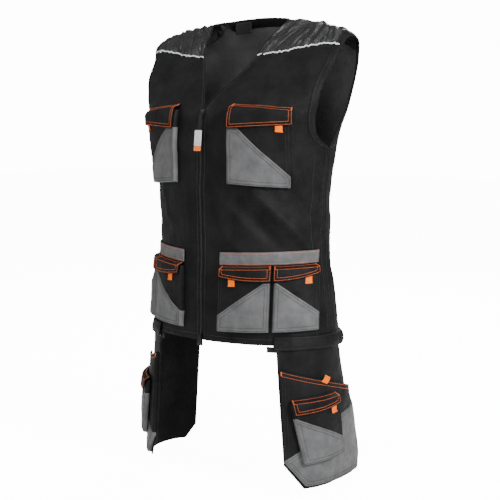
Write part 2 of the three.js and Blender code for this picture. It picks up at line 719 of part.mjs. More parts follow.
// The grey patch on the lower part of a pocket, cut along the lines of its table
const PATCH_INSET = 1.2;
function pocketPatch(pocket) {
  const inset = PATCH_INSET / pocket.width;
  const corners = pocket.patch.map((row) => Math.min(1 - inset, Math.max(inset, row.at)));
  const even = (pocket.columns || spread(0, 1, POCKET_COLUMNS)).slice(1, -1);
  const apart = even.filter((u) => corners.every((corner) => Math.abs(corner - u) > 0.03));
  const us = [...corners, ...apart].sort((a, b) => a - b);
  const place = (u, v, out) => {
    const topUp = 1 - tableValue(pocket.patch, "down", u);
    const up = lerp(PATCH_INSET / pocket.height, topUp, v);
    const face = pocketOut(pocket, up) + GAP + out * TRIM;
    return onPocket(pocket, u, up, face);
  };
  return cellSolid({ us, vs: spread(0, 1, 2), ds: [0, 1], place, mirrored: pocket.mirrored });
}
// The flap starts flat on the cloth above the pocket and lies over the pocket's mouth
const FLAP_STAND = 3 * GAP + TRIM + CHORD;
const FLAP_SPREAD = 3;
function pocketFlap(pocket) {
  const { above, fall, outerFall, bow } = pocket.flap;
  const place = (u, v, out) => {
    const low = lerp(fall, outerFall, u) + bow * Math.sin(Math.PI * u);
    const past = lerp(low, -above, v);
    const over = Math.min(1, Math.max(0, (past + above) / above));
    const rest = pocketOut(pocket, 1 - past / pocket.height) + FLAP_STAND;
    const lift = lerp(GAP + CHORD, rest, over * over * (3 - 2 * over));
    const wide = -FLAP_SPREAD + u * (pocket.width + 2 * FLAP_SPREAD);
    const up = 1 - past / pocket.height;
    return onPocket(pocket, wide / pocket.width, up, lift + out * CLOTH);
  };
  const rows = [0, 0.35, 0.68, 0.84, 1];
  return cellSolid({ us: spread(0, 1, 5), vs: rows, ds: [0, 1], place, mirrored: pocket.mirrored });
}
// The webbing tab hangs from under the flap's lower edge
function pocketTab(pocket) {
  const { at } = pocket.tab;
  const low = lerp(pocket.flap.fall, pocket.flap.outerFall, at) + pocket.flap.bow * Math.sin(Math.PI * at);
  const half = TAB_WIDTH / 2 / pocket.width;
  const place = (u, v, out) => {
    const past = lerp(low + TAB_HEIGHT, low - TAB_TUCK, v);
    const up = 1 - past / pocket.height;
    const share = lerp(at - half, at + half, u);
    const face = pocketOut(pocket, up) + GAP + CHORD / 2 + out * TRIM;
    return onPocket(pocket, share, up, face);
  };
  return cellSolid({ us: [0, 1], vs: spread(0, 1, 3), ds: [0, 1], place, mirrored: pocket.mirrored });
}
function addPocket(stem, name, pocket) {
  addPiece(`${stem}_pocket_${name}`, pocketTray(pocket), blackCloth());
  addPiece(`${stem}_patch_${name}`, pocketPatch(pocket), greyCloth());
  addPiece(`${stem}_flap_${name}`, pocketFlap(pocket), blackCloth());
  addPiece(`${stem}_tab_${name}`, pocketTab(pocket), orangeWebbing());
}

// Cut lines of the grey patches: how far down the pocket they start at shares across it
const CHEST_PATCH = [
  { at: 0, down: 0.23 },
  { at: 0.2, down: 0.23 },
  { at: 1, down: 0.85 },
];
const INNER_PATCH = [
  { at: 0, down: 0.75 },
  { at: 0.88, down: 0.22 },
  { at: 1, down: 0.22 },
];
const OUTER_PATCH = [
  { at: 0, down: 0.22 },
  { at: 0.06, down: 0.22 },
  { at: 1, down: 0.73 },
];
const FOOT_PATCH = [
  { at: 0, down: 0.8 },
  { at: 0.1, down: 0.75 },
  { at: 0.59, down: 0.525 },
  { at: 1, down: 0.48 },
];
const HOLSTER_PATCH = [
  { at: 0, down: 0.24 },
  { at: 0.06, down: 0.24 },
  { at: 1, down: 0.72 },
];

for (const { name, side } of SIDES) {
  addPiece(`front_panel_${name}`, frontPanel(side), blackCloth());
  addPiece(`yoke_${name}`, yoke(side), yokeCloth());
  addPiece(`piping_${name}`, piping(side), silverPiping());

  const frame = onBody(side);
  const mirrored = side < 0;
  addPocket("chest", name, {
    frame,
    mirrored,
    across: CHEST_POCKET_ACROSS,
    width: CHEST_POCKET_WIDTH,
    top: CHEST_POCKET_TOP,
    height: CHEST_POCKET_HEIGHT,
    depth: CHEST_POCKET_DEPTH,
    tilt: CHEST_POCKET_TILT,
    patch: CHEST_PATCH,
    flap: { above: CHEST_FLAP_ABOVE, fall: CHEST_FLAP_FALL, outerFall: 0.5 * CHEST_FLAP_FALL, bow: 0 },
    tab: { at: 0.83 },
  });

  const bankWidth = INNER_POCKET_WIDTH + BANK_POCKET_SPACE + OUTER_POCKET_WIDTH;
  const band = sheetOn({
    frame,
    mirrored,
    from: BANK_ACROSS,
    to: BANK_ACROSS + bankWidth,
    top: (u) => BANK_TOP + BANK_TILT * bankWidth * u,
    bottom: (u) => BANK_TOP + BANK_TILT * bankWidth * u + BANK_BAND_HEIGHT,
    lift: () => GAP + 3 * CHORD,
    thick: CLOTH,
    columns: 12,
    rows: 1,
  });
  addPiece(`bank_band_${name}`, band, greyCloth());
  const bankPocket = {
    frame,
    mirrored,
    height: BANK_POCKET_HEIGHT,
    depth: BANK_POCKET_DEPTH,
    tilt: BANK_TILT,
  };
  addPocket("inner", name, {
    ...bankPocket,
    across: BANK_ACROSS,
    width: INNER_POCKET_WIDTH,
    top: BANK_TOP + BANK_POCKET_DROP,
    patch: INNER_PATCH,
    flap: { above: BANK_FLAP_ABOVE, fall: 0.6 * BANK_FLAP_FALL, outerFall: BANK_FLAP_FALL, bow: 3 },
    tab: { at: 0.26 },
  });
  const outerStart = INNER_POCKET_WIDTH + BANK_POCKET_SPACE;
  addPocket("outer", name, {
    ...bankPocket,
    across: BANK_ACROSS + outerStart,
    width: OUTER_POCKET_WIDTH,
    top: BANK_TOP + BANK_POCKET_DROP + BANK_TILT * outerStart,
    patch: OUTER_PATCH,
    flap: { above: BANK_FLAP_ABOVE, fall: BANK_FLAP_FALL, outerFall: 0.5 * BANK_FLAP_FALL, bow: 3 },
    tab: { at: 0.7 },
  });
}

addPiece("neck_facing", neckFacing(), blackCloth());
for (const { name, side } of SIDES) {
  addPiece(`armhole_facing_${name}`, armholeFacing(side), blackCloth());
}

// The front zip: the teeth stand in the slit between the fronts, on tapes behind them
const ZIP_HEAD_SHARE = 0.9;
function frontZip() {
  const teeth = ZIP_TEETH_WIDTH / 2;
  const tape = ZIP_TAPE_WIDTH / 2;
  const rows = [...rowsBelow, ...rowsToNeck.slice(1)];
  const place = (across, i, out) => {
    const at = (row) => offset(across, panelHeight(row, frontTop(0)), out);
    if (i < rows.length - 1) return at(rows[i]);
    return at(rows[i - 1]).lerp(at(rows[i]), ZIP_HEAD_SHARE);
  };
  const filled = (i, j, k) => k === 0 || i === 1;
  return cellSolid({
    us: [-tape, -teeth, teeth, tape],
    vs: rows.map((_, i) => i),
    ds: [FACING_INNER - CHORD, FACING_OUTER - CHORD, 0],
    filled,
    place,
  });
}
addPiece("front_zip", frontZip(), blackPlastic());

// The slider, a small waisted block with a lug, and the strap and tag that hang from it, all placed
// on the facets of the fronts
function zipPoint(across, down, out) {
  const z = -NECK_DROP - down;
  const heights = bodyRows.map((row) => panelHeight(row, frontTop(0)));
  const i = heights.findIndex((height) => height > z);
  const t = (z - heights[i - 1]) / (heights[i] - heights[i - 1]);
  return offset(across, heights[i - 1], out).lerp(offset(across, heights[i], out), t);
}
const SLIDER_DOWN = 3;
const SLIDER_STAND = 0.5;
function zipSlider() {
  const half = SLIDER_WIDTH / 2;
  const waist = 0.72;
  const place = (u, v, out) => {
    const narrow = lerp(waist, 1, Math.abs(v - 0.4));
    return zipPoint(u * half * narrow, SLIDER_DOWN + (1 - v) * SLIDER_LENGTH, SLIDER_STAND + out);
  };
  const filled = (i, j, k) => k === 0 || (i === 1 && j > 0 && j < 3);
  return cellSolid({
    us: [-1, -0.3, 0.3, 1],
    vs: [0, 0.25, 0.5, 0.8, 1],
    ds: [0, 0.55 * SLIDER_DEPTH, SLIDER_DEPTH],
    filled,
    place,
  });
}
const STRAP_DOWN = SLIDER_DOWN + 0.45 * SLIDER_LENGTH;
const STRAP_OUT = SLIDER_STAND + SLIDER_DEPTH + GAP;
function pullStrap() {
  const place = (u, v, out) => {
    const down = (1 - v) * STRAP_LENGTH;
    return zipPoint((u * STRAP_WIDTH) / 2 - down * TAG_TURN, STRAP_DOWN + down, STRAP_OUT + out * TRIM);
  };
  return cellSolid({ us: [-1, 1], vs: spread(0, 1, 6), ds: [0, 1], place });
}
const TAG_DOWN = STRAP_DOWN + STRAP_LENGTH - 5;
const TAG_CORNER = 0.12;
function pullTag() {
  const place = (u, v, out) => {
    const down = (1 - v) * TAG_LENGTH;
    const round = v < TAG_CORNER || v > 1 - TAG_CORNER ? 0.8 : 1;
    const middle = -(TAG_DOWN - STRAP_DOWN + down) * TAG_TURN;
    const lift = STRAP_OUT + TRIM + 0.3 + out;
    return zipPoint(middle + (u * round * TAG_WIDTH) / 2, TAG_DOWN + down, lift);
  };
  const vs = [0, TAG_CORNER, 0.5, 1 - TAG_CORNER, 1];
  return cellSolid({ us: [-1, 1], vs, ds: [0, CLOTH], place });
}
addPiece("zip_slider", zipSlider(), blackPlastic());
addPiece("pull_strap", pullStrap(), blackCloth());
addPiece("pull_tag", pullTag(), tagRubber());

// The moulded end at the foot of the zip hangs just below the hem
function endPull() {
  const shape = [
    { at: 0, wide: 1, thick: 1 },
    { at: 0.25, wide: 1, thick: 1.1 },
    { at: 0.6, wide: 0.7, thick: 0.9 },
    { at: 1, wide: 0.45, thick: 0.6 },
  ];
  const top = BODY_LENGTH - END_PULL_LENGTH / 2;
  const place = (u, v, out) => {
    const wide = tableValue(shape, "wide", v) * END_PULL_WIDTH;
    const thick = tableValue(shape, "thick", v) * END_PULL_WIDTH * 0.4;
    const down = top + (1 - v) * END_PULL_LENGTH;
    return offset((u * wide) / 2, -down, 0.5 + out * thick);
  };
  return cellSolid({ us: [-1, 0, 1], vs: shape.map((row) => row.at), ds: [0, 1], place });
}
addPiece("end_pull", endPull(), blackPlastic());

// The bare label hangs straight down from the neckline, inside the facing
function neckLabel() {
  const inner = FACING_INNER - GAP / 3;
  const perShare = BACK_TOP.find((row) => row.at === YOKE_BACK_START).across / YOKE_BACK_START;
  const from = (-LABEL_SHIFT - LABEL_WIDTH / 2) / perShare;
  const to = (-LABEL_SHIFT + LABEL_WIDTH / 2) / perShare;
  const neckPoint = (share, out) => {
    const at = backPlace(-share, 2);
    return offset(at.length, at.z, out);
  };
  const place = (share, up, out) => {
    const next = BACK_NECK_COLUMNS.find((column) => column >= share);
    const last = BACK_NECK_COLUMNS[BACK_NECK_COLUMNS.indexOf(next) - 1];
    const p = neckPoint(last, out).lerp(neckPoint(next, out), (share - last) / (next - last));
    return p.setZ(p.z - LABEL_DROP - (1 - up) * LABEL_HEIGHT);
  };
  const us = [from, ...BACK_NECK_COLUMNS.filter((share) => share > from && share < to), to];
  return cellSolid({ us, vs: [0, 1], ds: [inner - TRIM, inner], place });
}
addPiece("neck_label", neckLabel(), blackCloth());

// A holster panel carries on from the hem: its surface swings from the section of the hem to the
// section of its own foot. Places on it are across from its front edge and down from the hem.
function onHolster(holster) {
  const hem = bodySection(-BODY_LENGTH);
  const known = new Map();
  const ringAt = (down) => {
    const key = down.toFixed(4);
    if (!known.has(key)) {
      const t = down / HOLSTER_LENGTH;
      const section = { centre: 0 };
      for (const part of ["half", "front", "back", "power"]) section[part] = lerp(hem[part], holster[part], t);
      known.set(key, ringOf(section));
    }
    return known.get(key);
  };
  const surface = (across, z) => {
    const down = -z - BODY_LENGTH;
    const length = holster.start + (holster.drift * down) / HOLSTER_LENGTH + across;
    const p = onRing(ringAt(down), holster.side * length);
    return new THREE.Vector3(p.x, p.y, z);
  };
  return (across, down, out) => {
    const z = -BODY_LENGTH - down;
    const n = normalOf(surface, across, z).multiplyScalar(holster.side);
    return surface(across, z).addScaledVector(n, out);
  };
}

// The lower edge of a holster layer: straight, with a cut corner at each end
function holsterBottom(share) {
  const across = share * HOLSTER_WIDTH;
  const frontCut = Math.max(0, 1 - across / FRONT_CUT_ACROSS) * FRONT_CUT_UP;
  const backCut = Math.max(0, 1 - (HOLSTER_WIDTH - across) / BACK_CUT_ACROSS) * BACK_CUT_UP;
  return HOLSTER_LENGTH - frontCut - backCut;
}
const FRONT_CUT_SHARE = FRONT_CUT_ACROSS / HOLSTER_WIDTH;
const BACK_CUT_SHARE = 1 - BACK_CUT_ACROSS / HOLSTER_WIDTH;
const HOLSTER_COLUMNS = [
  0,
  FRONT_CUT_SHARE / 2,
  ...spread(FRONT_CUT_SHARE, BACK_CUT_SHARE, 6),
  1,
];

function holsterPieces(holster) {
  const { name, side } = holster;
  const mirrored = side < 0;
  const frame = onHolster(holster);

  const panelPlace = (u, v, out) => frame(u * HOLSTER_WIDTH, lerp(holsterBottom(u), SEAM, v), out);
  const panel = cellSolid({
    us: HOLSTER_COLUMNS,
    vs: spread(0, 1, 7),
    ds: [-CLOTH, 0],
    place: panelPlace,
    mirrored,
  });
  addPiece(`holster_panel_${name}`, panel, blackCloth());

  // The pouch is a tray as wide as the panel, its mouth cut on a slant
  const pouch = {
    frame,
    mirrored,
    width: HOLSTER_WIDTH,
    height: HOLSTER_LENGTH,
    depth: POUCH_DEPTH,
    columns: HOLSTER_COLUMNS,
    rows: [0, 0.26, 0.53, 0.79, 1],
    spot: (share, up) => ({
      across: lerp(HOLSTER_LAYER_STEP / 2, HOLSTER_WIDTH - 1, share),
      down: lerp(holsterBottom(share) - HOLSTER_LAYER_STEP, POUCH_TOP_DOWN + POUCH_TOP_SLANT * share, up),
    }),
  };
  addPiece(`pouch_${name}`, pocketTray(pouch), blackCloth());

  // The grey reinforcement round the foot of the pouch
  const footPlace = (u, v, out) => {
    const low = holsterBottom(u) - HOLSTER_LAYER_STEP - PATCH_INSET;
    const down = lerp(low, tableValue(FOOT_PATCH, "down", u) * HOLSTER_LENGTH, v);
    const across = lerp(HOLSTER_LAYER_STEP / 2 + PATCH_INSET, HOLSTER_WIDTH - 1 - PATCH_INSET, u);
    return frame(across, down, 2 * GAP + CHORD + POUCH_DEPTH + out * TRIM);
  };
  const foot = cellSolid({ us: HOLSTER_COLUMNS, vs: spread(0, 1, 3), ds: [0, 1], place: footPlace, mirrored });
  addPiece(`foot_patch_${name}`, foot, greyCloth());

  // The orange loop stands up from the mouth of the pouch
  const loopDown = POUCH_TOP_DOWN + POUCH_TOP_SLANT * POUCH_LOOP_AT;
  const loop = sheetOn({
    frame,
    mirrored,
    from: POUCH_LOOP_AT * HOLSTER_WIDTH - TAB_WIDTH / 2,
    to: POUCH_LOOP_AT * HOLSTER_WIDTH + TAB_WIDTH / 2,
    top: () => loopDown - 0.6 * TAB_HEIGHT,
    bottom: () => loopDown + 0.6 * TAB_HEIGHT,
    lift: () => 2 * GAP + CHORD + 0.86 * POUCH_DEPTH,
    thick: TRIM,
    columns: 1,
    rows: 2,
  });
  addPiece(`pouch_loop_${name}`, loop, orangeWebbing());

  // The small pocket leans on the pouch, over the reinforcement
  const base = 2 * GAP + CHORD + POUCH_DEPTH + TRIM;
  addPocket("holster", name, {
    frame: (across, down, out) => frame(across, down, base + out),
    mirrored,
    across: HOLSTER_POCKET_ACROSS,
    width: HOLSTER_POCKET_WIDTH,
    top: HOLSTER_POCKET_TOP,
    height: HOLSTER_POCKET_HEIGHT,
    depth: HOLSTER_POCKET_DEPTH,
    tilt: HOLSTER_POCKET_TILT,
    lean: HOLSTER_POCKET_LEAN,
    patch: HOLSTER_PATCH,
    flap: {
      above: HOLSTER_FLAP_ABOVE,
      fall: HOLSTER_FLAP_FALL,
      outerFall: 0.6 * HOLSTER_FLAP_FALL,
      bow: 2,
    },
    tab: { at: 0.78 },
  });

  // The band at the hem covers the holster zip and is a little gathered
  const hemBand = sheetOn({
    frame: onBody(side),
    mirrored,
    from: holster.start - HEM_FLAP_BEFORE,
    to: holster.start + HOLSTER_WIDTH,
    top: () => BODY_LENGTH + HEM_FLAP_BELOW - HEM_FLAP_HEIGHT,
    bottom: () => BODY_LENGTH + HEM_FLAP_BELOW,
    lift: (u, down) => {
      const low = Math.max(0, (down - BODY_LENGTH + HEM_FLAP_HEIGHT - HEM_FLAP_BELOW) / HEM_FLAP_HEIGHT);
      return GAP + CHORD + HEM_FLAP_PUFF * Math.min(1, low);
    },
    thick: CLOTH,
    columns: 10,
    rows: 2,
  });
  addPiece(`hem_flap_${name}`, hemBand, blackCloth());
}
for (const holster of HOLSTERS) holsterPieces(holster);

export default vest;
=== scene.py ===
# %% [markdown]
# # Dressing a work vest
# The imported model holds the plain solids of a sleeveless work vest: panels, yokes, pockets, flaps
# and two holster panels. Here each of them gets the cloth, thread, zip and trims of the real one.
# A garment is thin sheets sewn together, so nearly every piece is a grid of points laid on a body
# surface, given a thickness, and sewn with stitches that are small meshes of their own.

import math

import bmesh
import bpy
import numpy as np
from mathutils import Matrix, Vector


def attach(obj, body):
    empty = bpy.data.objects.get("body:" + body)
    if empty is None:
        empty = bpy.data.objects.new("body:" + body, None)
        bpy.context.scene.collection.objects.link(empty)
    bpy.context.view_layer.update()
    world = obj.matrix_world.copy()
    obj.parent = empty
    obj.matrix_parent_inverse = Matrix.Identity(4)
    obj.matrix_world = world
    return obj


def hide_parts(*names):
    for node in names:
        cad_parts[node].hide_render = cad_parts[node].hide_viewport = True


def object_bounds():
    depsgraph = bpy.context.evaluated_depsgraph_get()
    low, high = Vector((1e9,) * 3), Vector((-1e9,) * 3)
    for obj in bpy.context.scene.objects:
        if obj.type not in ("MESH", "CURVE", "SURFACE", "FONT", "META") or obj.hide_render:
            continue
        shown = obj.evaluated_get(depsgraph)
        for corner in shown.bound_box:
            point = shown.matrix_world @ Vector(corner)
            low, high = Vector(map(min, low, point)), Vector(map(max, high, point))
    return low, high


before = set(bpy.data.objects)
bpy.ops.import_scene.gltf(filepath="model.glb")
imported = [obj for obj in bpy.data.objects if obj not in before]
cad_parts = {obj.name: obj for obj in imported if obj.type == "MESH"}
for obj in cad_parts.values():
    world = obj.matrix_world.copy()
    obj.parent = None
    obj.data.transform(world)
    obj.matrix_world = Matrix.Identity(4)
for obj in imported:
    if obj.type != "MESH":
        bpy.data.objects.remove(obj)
BOUNDS_BEFORE = [list(corner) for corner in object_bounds()]
bpy.ops.object.select_all(action="DESELECT")
MM = 0.001
print(len(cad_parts), "solids loaded")

# %% [markdown]
# ## The shape that the cloth follows
# The vest stands as if worn. Its cloth could be simulated over a figure, but a shape that is known
# from its measurements is steadier: horizontal sections from the neck to the hem, each a rounded
# oval, and the same sizes as the solids have. All lengths here are millimetres.

# %% Sizes of the vest
BODY_LENGTH = 656
NECK_RISE = 12
NECK_DROP = 182
SHOULDER_DROP = 50
ARMHOLE_DEPTH = 212
HOLSTER_LENGTH = 290
NECK_HALF_WIDTH = 102
SHOULDER_HALF_WIDTH = 263
CHEST_HALF_WIDTH = 212
WAIST_HALF_WIDTH = 203
HEM_HALF_WIDTH = 224
FRONT_DEPTH = 156
BACK_DEPTH = 131
SHOULDER_SHIFT = 17
ARMHOLE_FORWARD = 62
ARMHOLE_BACKWARD = 51
CLOTH = 2.0
TRIM = 1.4
GAP = 0.6
CHORD = 0.4
ARMPIT = SHOULDER_DROP + ARMHOLE_DEPTH
BELOW_ARMPIT = BODY_LENGTH - ARMPIT

# down, half width, front depth, back depth, shift of the middle, power of the oval
SECTIONS = np.array([
    (-NECK_RISE, 0.76 * NECK_HALF_WIDTH, 0.02, 0.35, 1.0, 2.2),
    (-0.33 * NECK_RISE, 0.9 * NECK_HALF_WIDTH, 0.03, 0.43, 1.0, 2.2),
    (0, NECK_HALF_WIDTH, 0.04, 0.46, 1.0, 2.2),
    (0.08 * SHOULDER_DROP, 0.545 * SHOULDER_HALF_WIDTH, 0.055, 0.485, 1.0, 2.2),
    (0.24 * SHOULDER_DROP, 0.707 * SHOULDER_HALF_WIDTH, 0.105, 0.52, 0.95, 2.2),
    (0.46 * SHOULDER_DROP, 0.867 * SHOULDER_HALF_WIDTH, 0.175, 0.573, 0.94, 2.2),
    (0.72 * SHOULDER_DROP, 0.962 * SHOULDER_HALF_WIDTH, 0.265, 0.641, 0.94, 2.2),
    (SHOULDER_DROP, SHOULDER_HALF_WIDTH, 0.36, 0.718, 0.94, 2.2),
    (SHOULDER_DROP + 0.12 * ARMHOLE_DEPTH, 0.989 * SHOULDER_HALF_WIDTH, 0.449, 0.817, 0.94, 2.2),
    (SHOULDER_DROP + 0.35 * ARMHOLE_DEPTH, 0.943 * SHOULDER_HALF_WIDTH, 0.673, 0.931, 0.88, 2.3),
    (SHOULDER_DROP + 0.57 * ARMHOLE_DEPTH, 0.89 * SHOULDER_HALF_WIDTH, 0.91, 0.992, 0.76, 2.3),
    (SHOULDER_DROP + 0.71 * ARMHOLE_DEPTH, 1.057 * CHEST_HALF_WIDTH, 0.994, 1.0, 0.65, 2.3),
    (SHOULDER_DROP + 0.9 * ARMHOLE_DEPTH, CHEST_HALF_WIDTH, 1.0, 0.977, 0.47, 2.25),
    (ARMPIT + 0.07 * BELOW_ARMPIT, 0.976 * CHEST_HALF_WIDTH, 0.974, 0.924, 0.24, 2.15),
    (ARMPIT + 0.26 * BELOW_ARMPIT, WAIST_HALF_WIDTH, 0.955, 0.84, 0.0, 2.05),
    (ARMPIT + 0.51 * BELOW_ARMPIT, 0.995 * WAIST_HALF_WIDTH, 0.942, 0.824, 0.0, 2.0),
    (ARMPIT + 0.76 * BELOW_ARMPIT, 0.95 * HEM_HALF_WIDTH, 0.96, 0.855, 0.0, 2.05),
    (BODY_LENGTH, HEM_HALF_WIDTH, 0.974, 0.885, 0.0, 2.1),
])
# shares of the neckline's drop and half width
NECKLINE = np.array(
    [(0, 1), (0.11, 0.95), (0.22, 0.86), (0.41, 0.69), (0.63, 0.43), (0.79, 0.23), (1, 0)]
)
# down the armhole: how far its front and its back edge lie from its middle
ARMHOLE = np.array([
    (0, 0.1, 0.1), (0.06, 0.4, 0.25), (0.14, 0.5, 0.44), (0.35, 0.81, 0.86), (0.52, 0.97, 1),
    (0.66, 1, 0.87), (0.79, 0.87, 0.6), (0.9, 0.6, 0.34), (1, 0, 0),
])
YOKE_FRONT = np.array([(0, 1.48), (0.33, 1.36), (0.56, 1.2), (0.8, 1.1), (1, 1.2)])
# the top edge of the back: place, across, rise, down
BACK_TOP = np.array([
    (0, 0, 1, 0),
    (0.14, 0.4 * NECK_HALF_WIDTH, 0.85, 0),
    (0.28, 0.82 * NECK_HALF_WIDTH, 0.42, 0),
    (0.46, 0.52 * SHOULDER_HALF_WIDTH, 0, 0.46),
    (0.7, 0.75 * SHOULDER_HALF_WIDTH, 0, 0.95),
    (0.87, 0.88 * SHOULDER_HALF_WIDTH, 0, 1.3),
    (1, 0.955 * SHOULDER_HALF_WIDTH, 0, 1.6),
])
YOKE_BACK_START = 0.28


def smooth_curve(table, column, x):
    """A smooth curve through a table, read at x of its first column."""
    xs, ys, x = table[:, 0], table[:, column], np.asarray(x, float)
    step = np.diff(xs)
    slope = np.diff(ys) / step
    before, after = slope[:-1], slope[1:]
    same = before * after > 0
    middle = np.where(same, 2 * before * after / np.where(same, before + after, 1), 0)
    tangent = np.concatenate([[slope[0]], middle, [slope[-1]]])
    i = np.clip(np.searchsorted(xs, x) - 1, 0, len(xs) - 2)
    t = np.clip((x - xs[i]) / step[i], 0, 1)
    start = (2 * t**3 - 3 * t**2 + 1) * ys[i] + (t**3 - 2 * t**2 + t) * step[i] * tangent[i]
    end = (3 * t**2 - 2 * t**3) * ys[i + 1] + (t**3 - t**2) * step[i] * tangent[i + 1]
    return start + end


# %% [markdown]
# A surface is kept as a table of points and outward normals. Reading between its rows and columns
# is quick, so thousands of points of cloth can be laid on it at once.

# %% A surface that gives points and normals
def lerp(a, b, t):
    return a + (b - a) * t


def unit(vectors):
    """The same directions with length 1, for one vector or an array of them."""
    return vectors / np.maximum(np.linalg.norm(vectors, axis=-1, keepdims=True), 1e-6)


class Surface:
    """Points on a grid of us and vs, with normals that point away from the wearer."""

    def __init__(self, us, vs, points, outwards=1):
        self.us, self.vs, self.points = us, vs, points
        across = np.gradient(points, axis=1)
        down = np.gradient(points, vs, axis=0)
        self.normals = unit(outwards * np.cross(down, across))

    def at(self, u, v, out=0.0):
        u, v, out = np.broadcast_arrays(*(np.asarray(value, float) for value in (u, v, out)))
        i = np.clip(np.searchsorted(self.us, u) - 1, 0, len(self.us) - 2)
        j = np.clip(np.searchsorted(self.vs, v) - 1, 0, len(self.vs) - 2)
        a = ((u - self.us[i]) / (self.us[i + 1] - self.us[i]))[..., None]
        b = ((v - self.vs[j]) / (self.vs[j + 1] - self.vs[j]))[..., None]

        def read(table):
            above = lerp(table[j, i], table[j, i + 1], a)
            below = lerp(table[j + 1, i], table[j + 1, i + 1], a)
            return lerp(above, below, b)

        return read(self.points) + unit(read(self.normals)) * out[..., None]


ANGLES = np.pi / 2 * (1 - np.arange(241) / 120)


def ovals(half, front, back, centre, power):
    """Outlines from the centre front round the left to the centre back, with their lengths."""
    sizes = (half, front, back, centre, power)
    half, front, back, centre, power = (np.asarray(v, float)[:, None] for v in sizes)
    cos, sin = np.abs(np.cos(ANGLES)), np.abs(np.sin(ANGLES))
    depth = np.where(ANGLES >= 0, front, back)
    r = ((cos / half) ** power + (sin / depth) ** power) ** (-1 / power)
    x, y = r * cos, centre - np.sign(ANGLES) * r * sin
    steps = np.hypot(np.diff(x), np.diff(y))
    lengths = np.concatenate([np.zeros((len(x), 1)), np.cumsum(steps, axis=1)], axis=1)
    return x, y, lengths


LEVELS = np.concatenate([np.arange(-NECK_RISE, 60, 0.25), np.arange(60, BODY_LENGTH + 30, 2.0)])
HALVES = smooth_curve(SECTIONS, 1, LEVELS)
CENTRES = smooth_curve(SECTIONS, 4, LEVELS) * SHOULDER_SHIFT
body_x, body_y, body_lengths = ovals(
    HALVES,
    smooth_curve(SECTIONS, 2, LEVELS) * FRONT_DEPTH,
    smooth_curve(SECTIONS, 3, LEVELS) * BACK_DEPTH,
    CENTRES,
    smooth_curve(SECTIONS, 5, LEVELS),
)
QUARTERS, TOTALS = body_lengths[:, 120], body_lengths[:, -1]


def length_at(turn, down):
    quarter, total = np.interp(down, LEVELS, QUARTERS), np.interp(down, LEVELS, TOTALS)
    t = np.abs(turn)
    return np.sign(turn) * np.where(t <= 1, t * quarter, quarter + (t - 1) * (total - quarter))


def turn_at(length, down):
    quarter, total = np.interp(down, LEVELS, QUARTERS), np.interp(down, LEVELS, TOTALS)
    s = np.abs(length)
    return np.sign(length) * np.where(s <= quarter, s / quarter, 1 + (s - quarter) / (total - quarter))


def body_surface():
    """Quarter turns: 0 at the centre front, 1 and -1 at the sides, 2 and -2 at the centre back."""
    turns = np.linspace(-2.1, 2.1, 841)
    wrapped = (turns + 2) % 4 - 2
    points = np.zeros((len(LEVELS), len(turns), 3))
    for row, down in enumerate(LEVELS):
        length = np.abs(length_at(wrapped, down))
        points[row, :, 0] = np.sign(wrapped) * np.interp(length, body_lengths[row], body_x[row])
        points[row, :, 1] = np.interp(length, body_lengths[row], body_y[row])
        points[row, :, 2] = -down
    return Surface(turns, LEVELS, points)


BODY = body_surface()
print("body surface", BODY.points.shape)

# %% [markdown]
# ## Folds and creases
# A worn garment has a few large folds that pull between its seams and many soft dents. Large folds
# are ridges along a line. The soft dents are a sum of slanted waves in space, so that they meet
# round the back without a step.

# %% Folds of the body
FOLD_GIRTH = 1.45 * CHEST_HALF_WIDTH
# from, its share down, to, its share down, height, width
FOLDS = [
    (-0.72, 0.14, -0.8, 0.22, 10, 45),
    (0.43, 0.535, 0.88, 0.71, 12, 13),
    (0.3, 0.565, 0.66, 0.71, -8, 15),
    (0.62, 0.5, 0.98, 0.66, -6, 12),
    (0.66, 0.46, 1.0, 0.58, 3.5, 10),
    (0.16, 0.55, 0.42, 0.66, 3.5, 10),
    (0.1, 0.62, 0.3, 0.7, 2.5, 8),
    (0.93, 0.5, 0.88, 0.66, 3, 12),
    (-0.3, 0.56, -0.62, 0.69, 4, 16),
    (1.5, 0.42, 1.25, 0.62, 5, 18),
    (-1.55, 0.4, -1.2, 0.6, 5, 18),
    (0.12, 0.5, 0.2, 0.66, 1.8, 9),
    (0.3, 0.54, 0.24, 0.68, -1.4, 9),
    (0.66, 0.5, 0.94, 0.58, 2.2, 10),
    (-0.14, 0.5, -0.1, 0.7, 1.8, 10),
    (-0.5, 0.52, -0.34, 0.66, 2.0, 11),
    (0.9, 0.42, 1.1, 0.52, 2.4, 12),
    (-0.95, 0.42, -1.08, 0.54, 2.4, 12),
    (1.05, 0.72, 1.2, 0.95, 3.0, 14),
    (-1.05, 0.72, -1.2, 0.95, 3.0, 14),
    (1.9, 0.3, 1.62, 0.5, 3.0, 20),
    (-1.9, 0.32, -1.66, 0.52, 3.0, 20),
    (1.95, 0.55, 1.7, 0.74, 3.2, 18),
    (-1.85, 0.6, -1.6, 0.8, 3.2, 18),
    (1.75, 0.82, 1.95, 0.95, 2.5, 16),
    (-1.7, 0.86, -1.9, 0.97, 2.5, 16),
    (0.78, 0.26, 0.62, 0.36, 1.6, 12),
    (-0.76, 0.26, -0.64, 0.36, 1.6, 12),
]


def ridge(x, y, fold):
    """One fold: highest half way along its line, and fading to both sides."""
    ax, bx = fold[0] * FOLD_GIRTH, fold[2] * FOLD_GIRTH
    ay, by = fold[1] * BODY_LENGTH, fold[3] * BODY_LENGTH
    run = (bx - ax) ** 2 + (by - ay) ** 2
    t = np.clip(((x - ax) * (bx - ax) + (y - ay) * (by - ay)) / run, 0, 1)
    away = np.hypot(x - lerp(ax, bx, t), y - lerp(ay, by, t))
    return fold[4] * np.exp(-((away / fold[5]) ** 2)) * np.sin(np.pi * (0.15 + 0.7 * t))


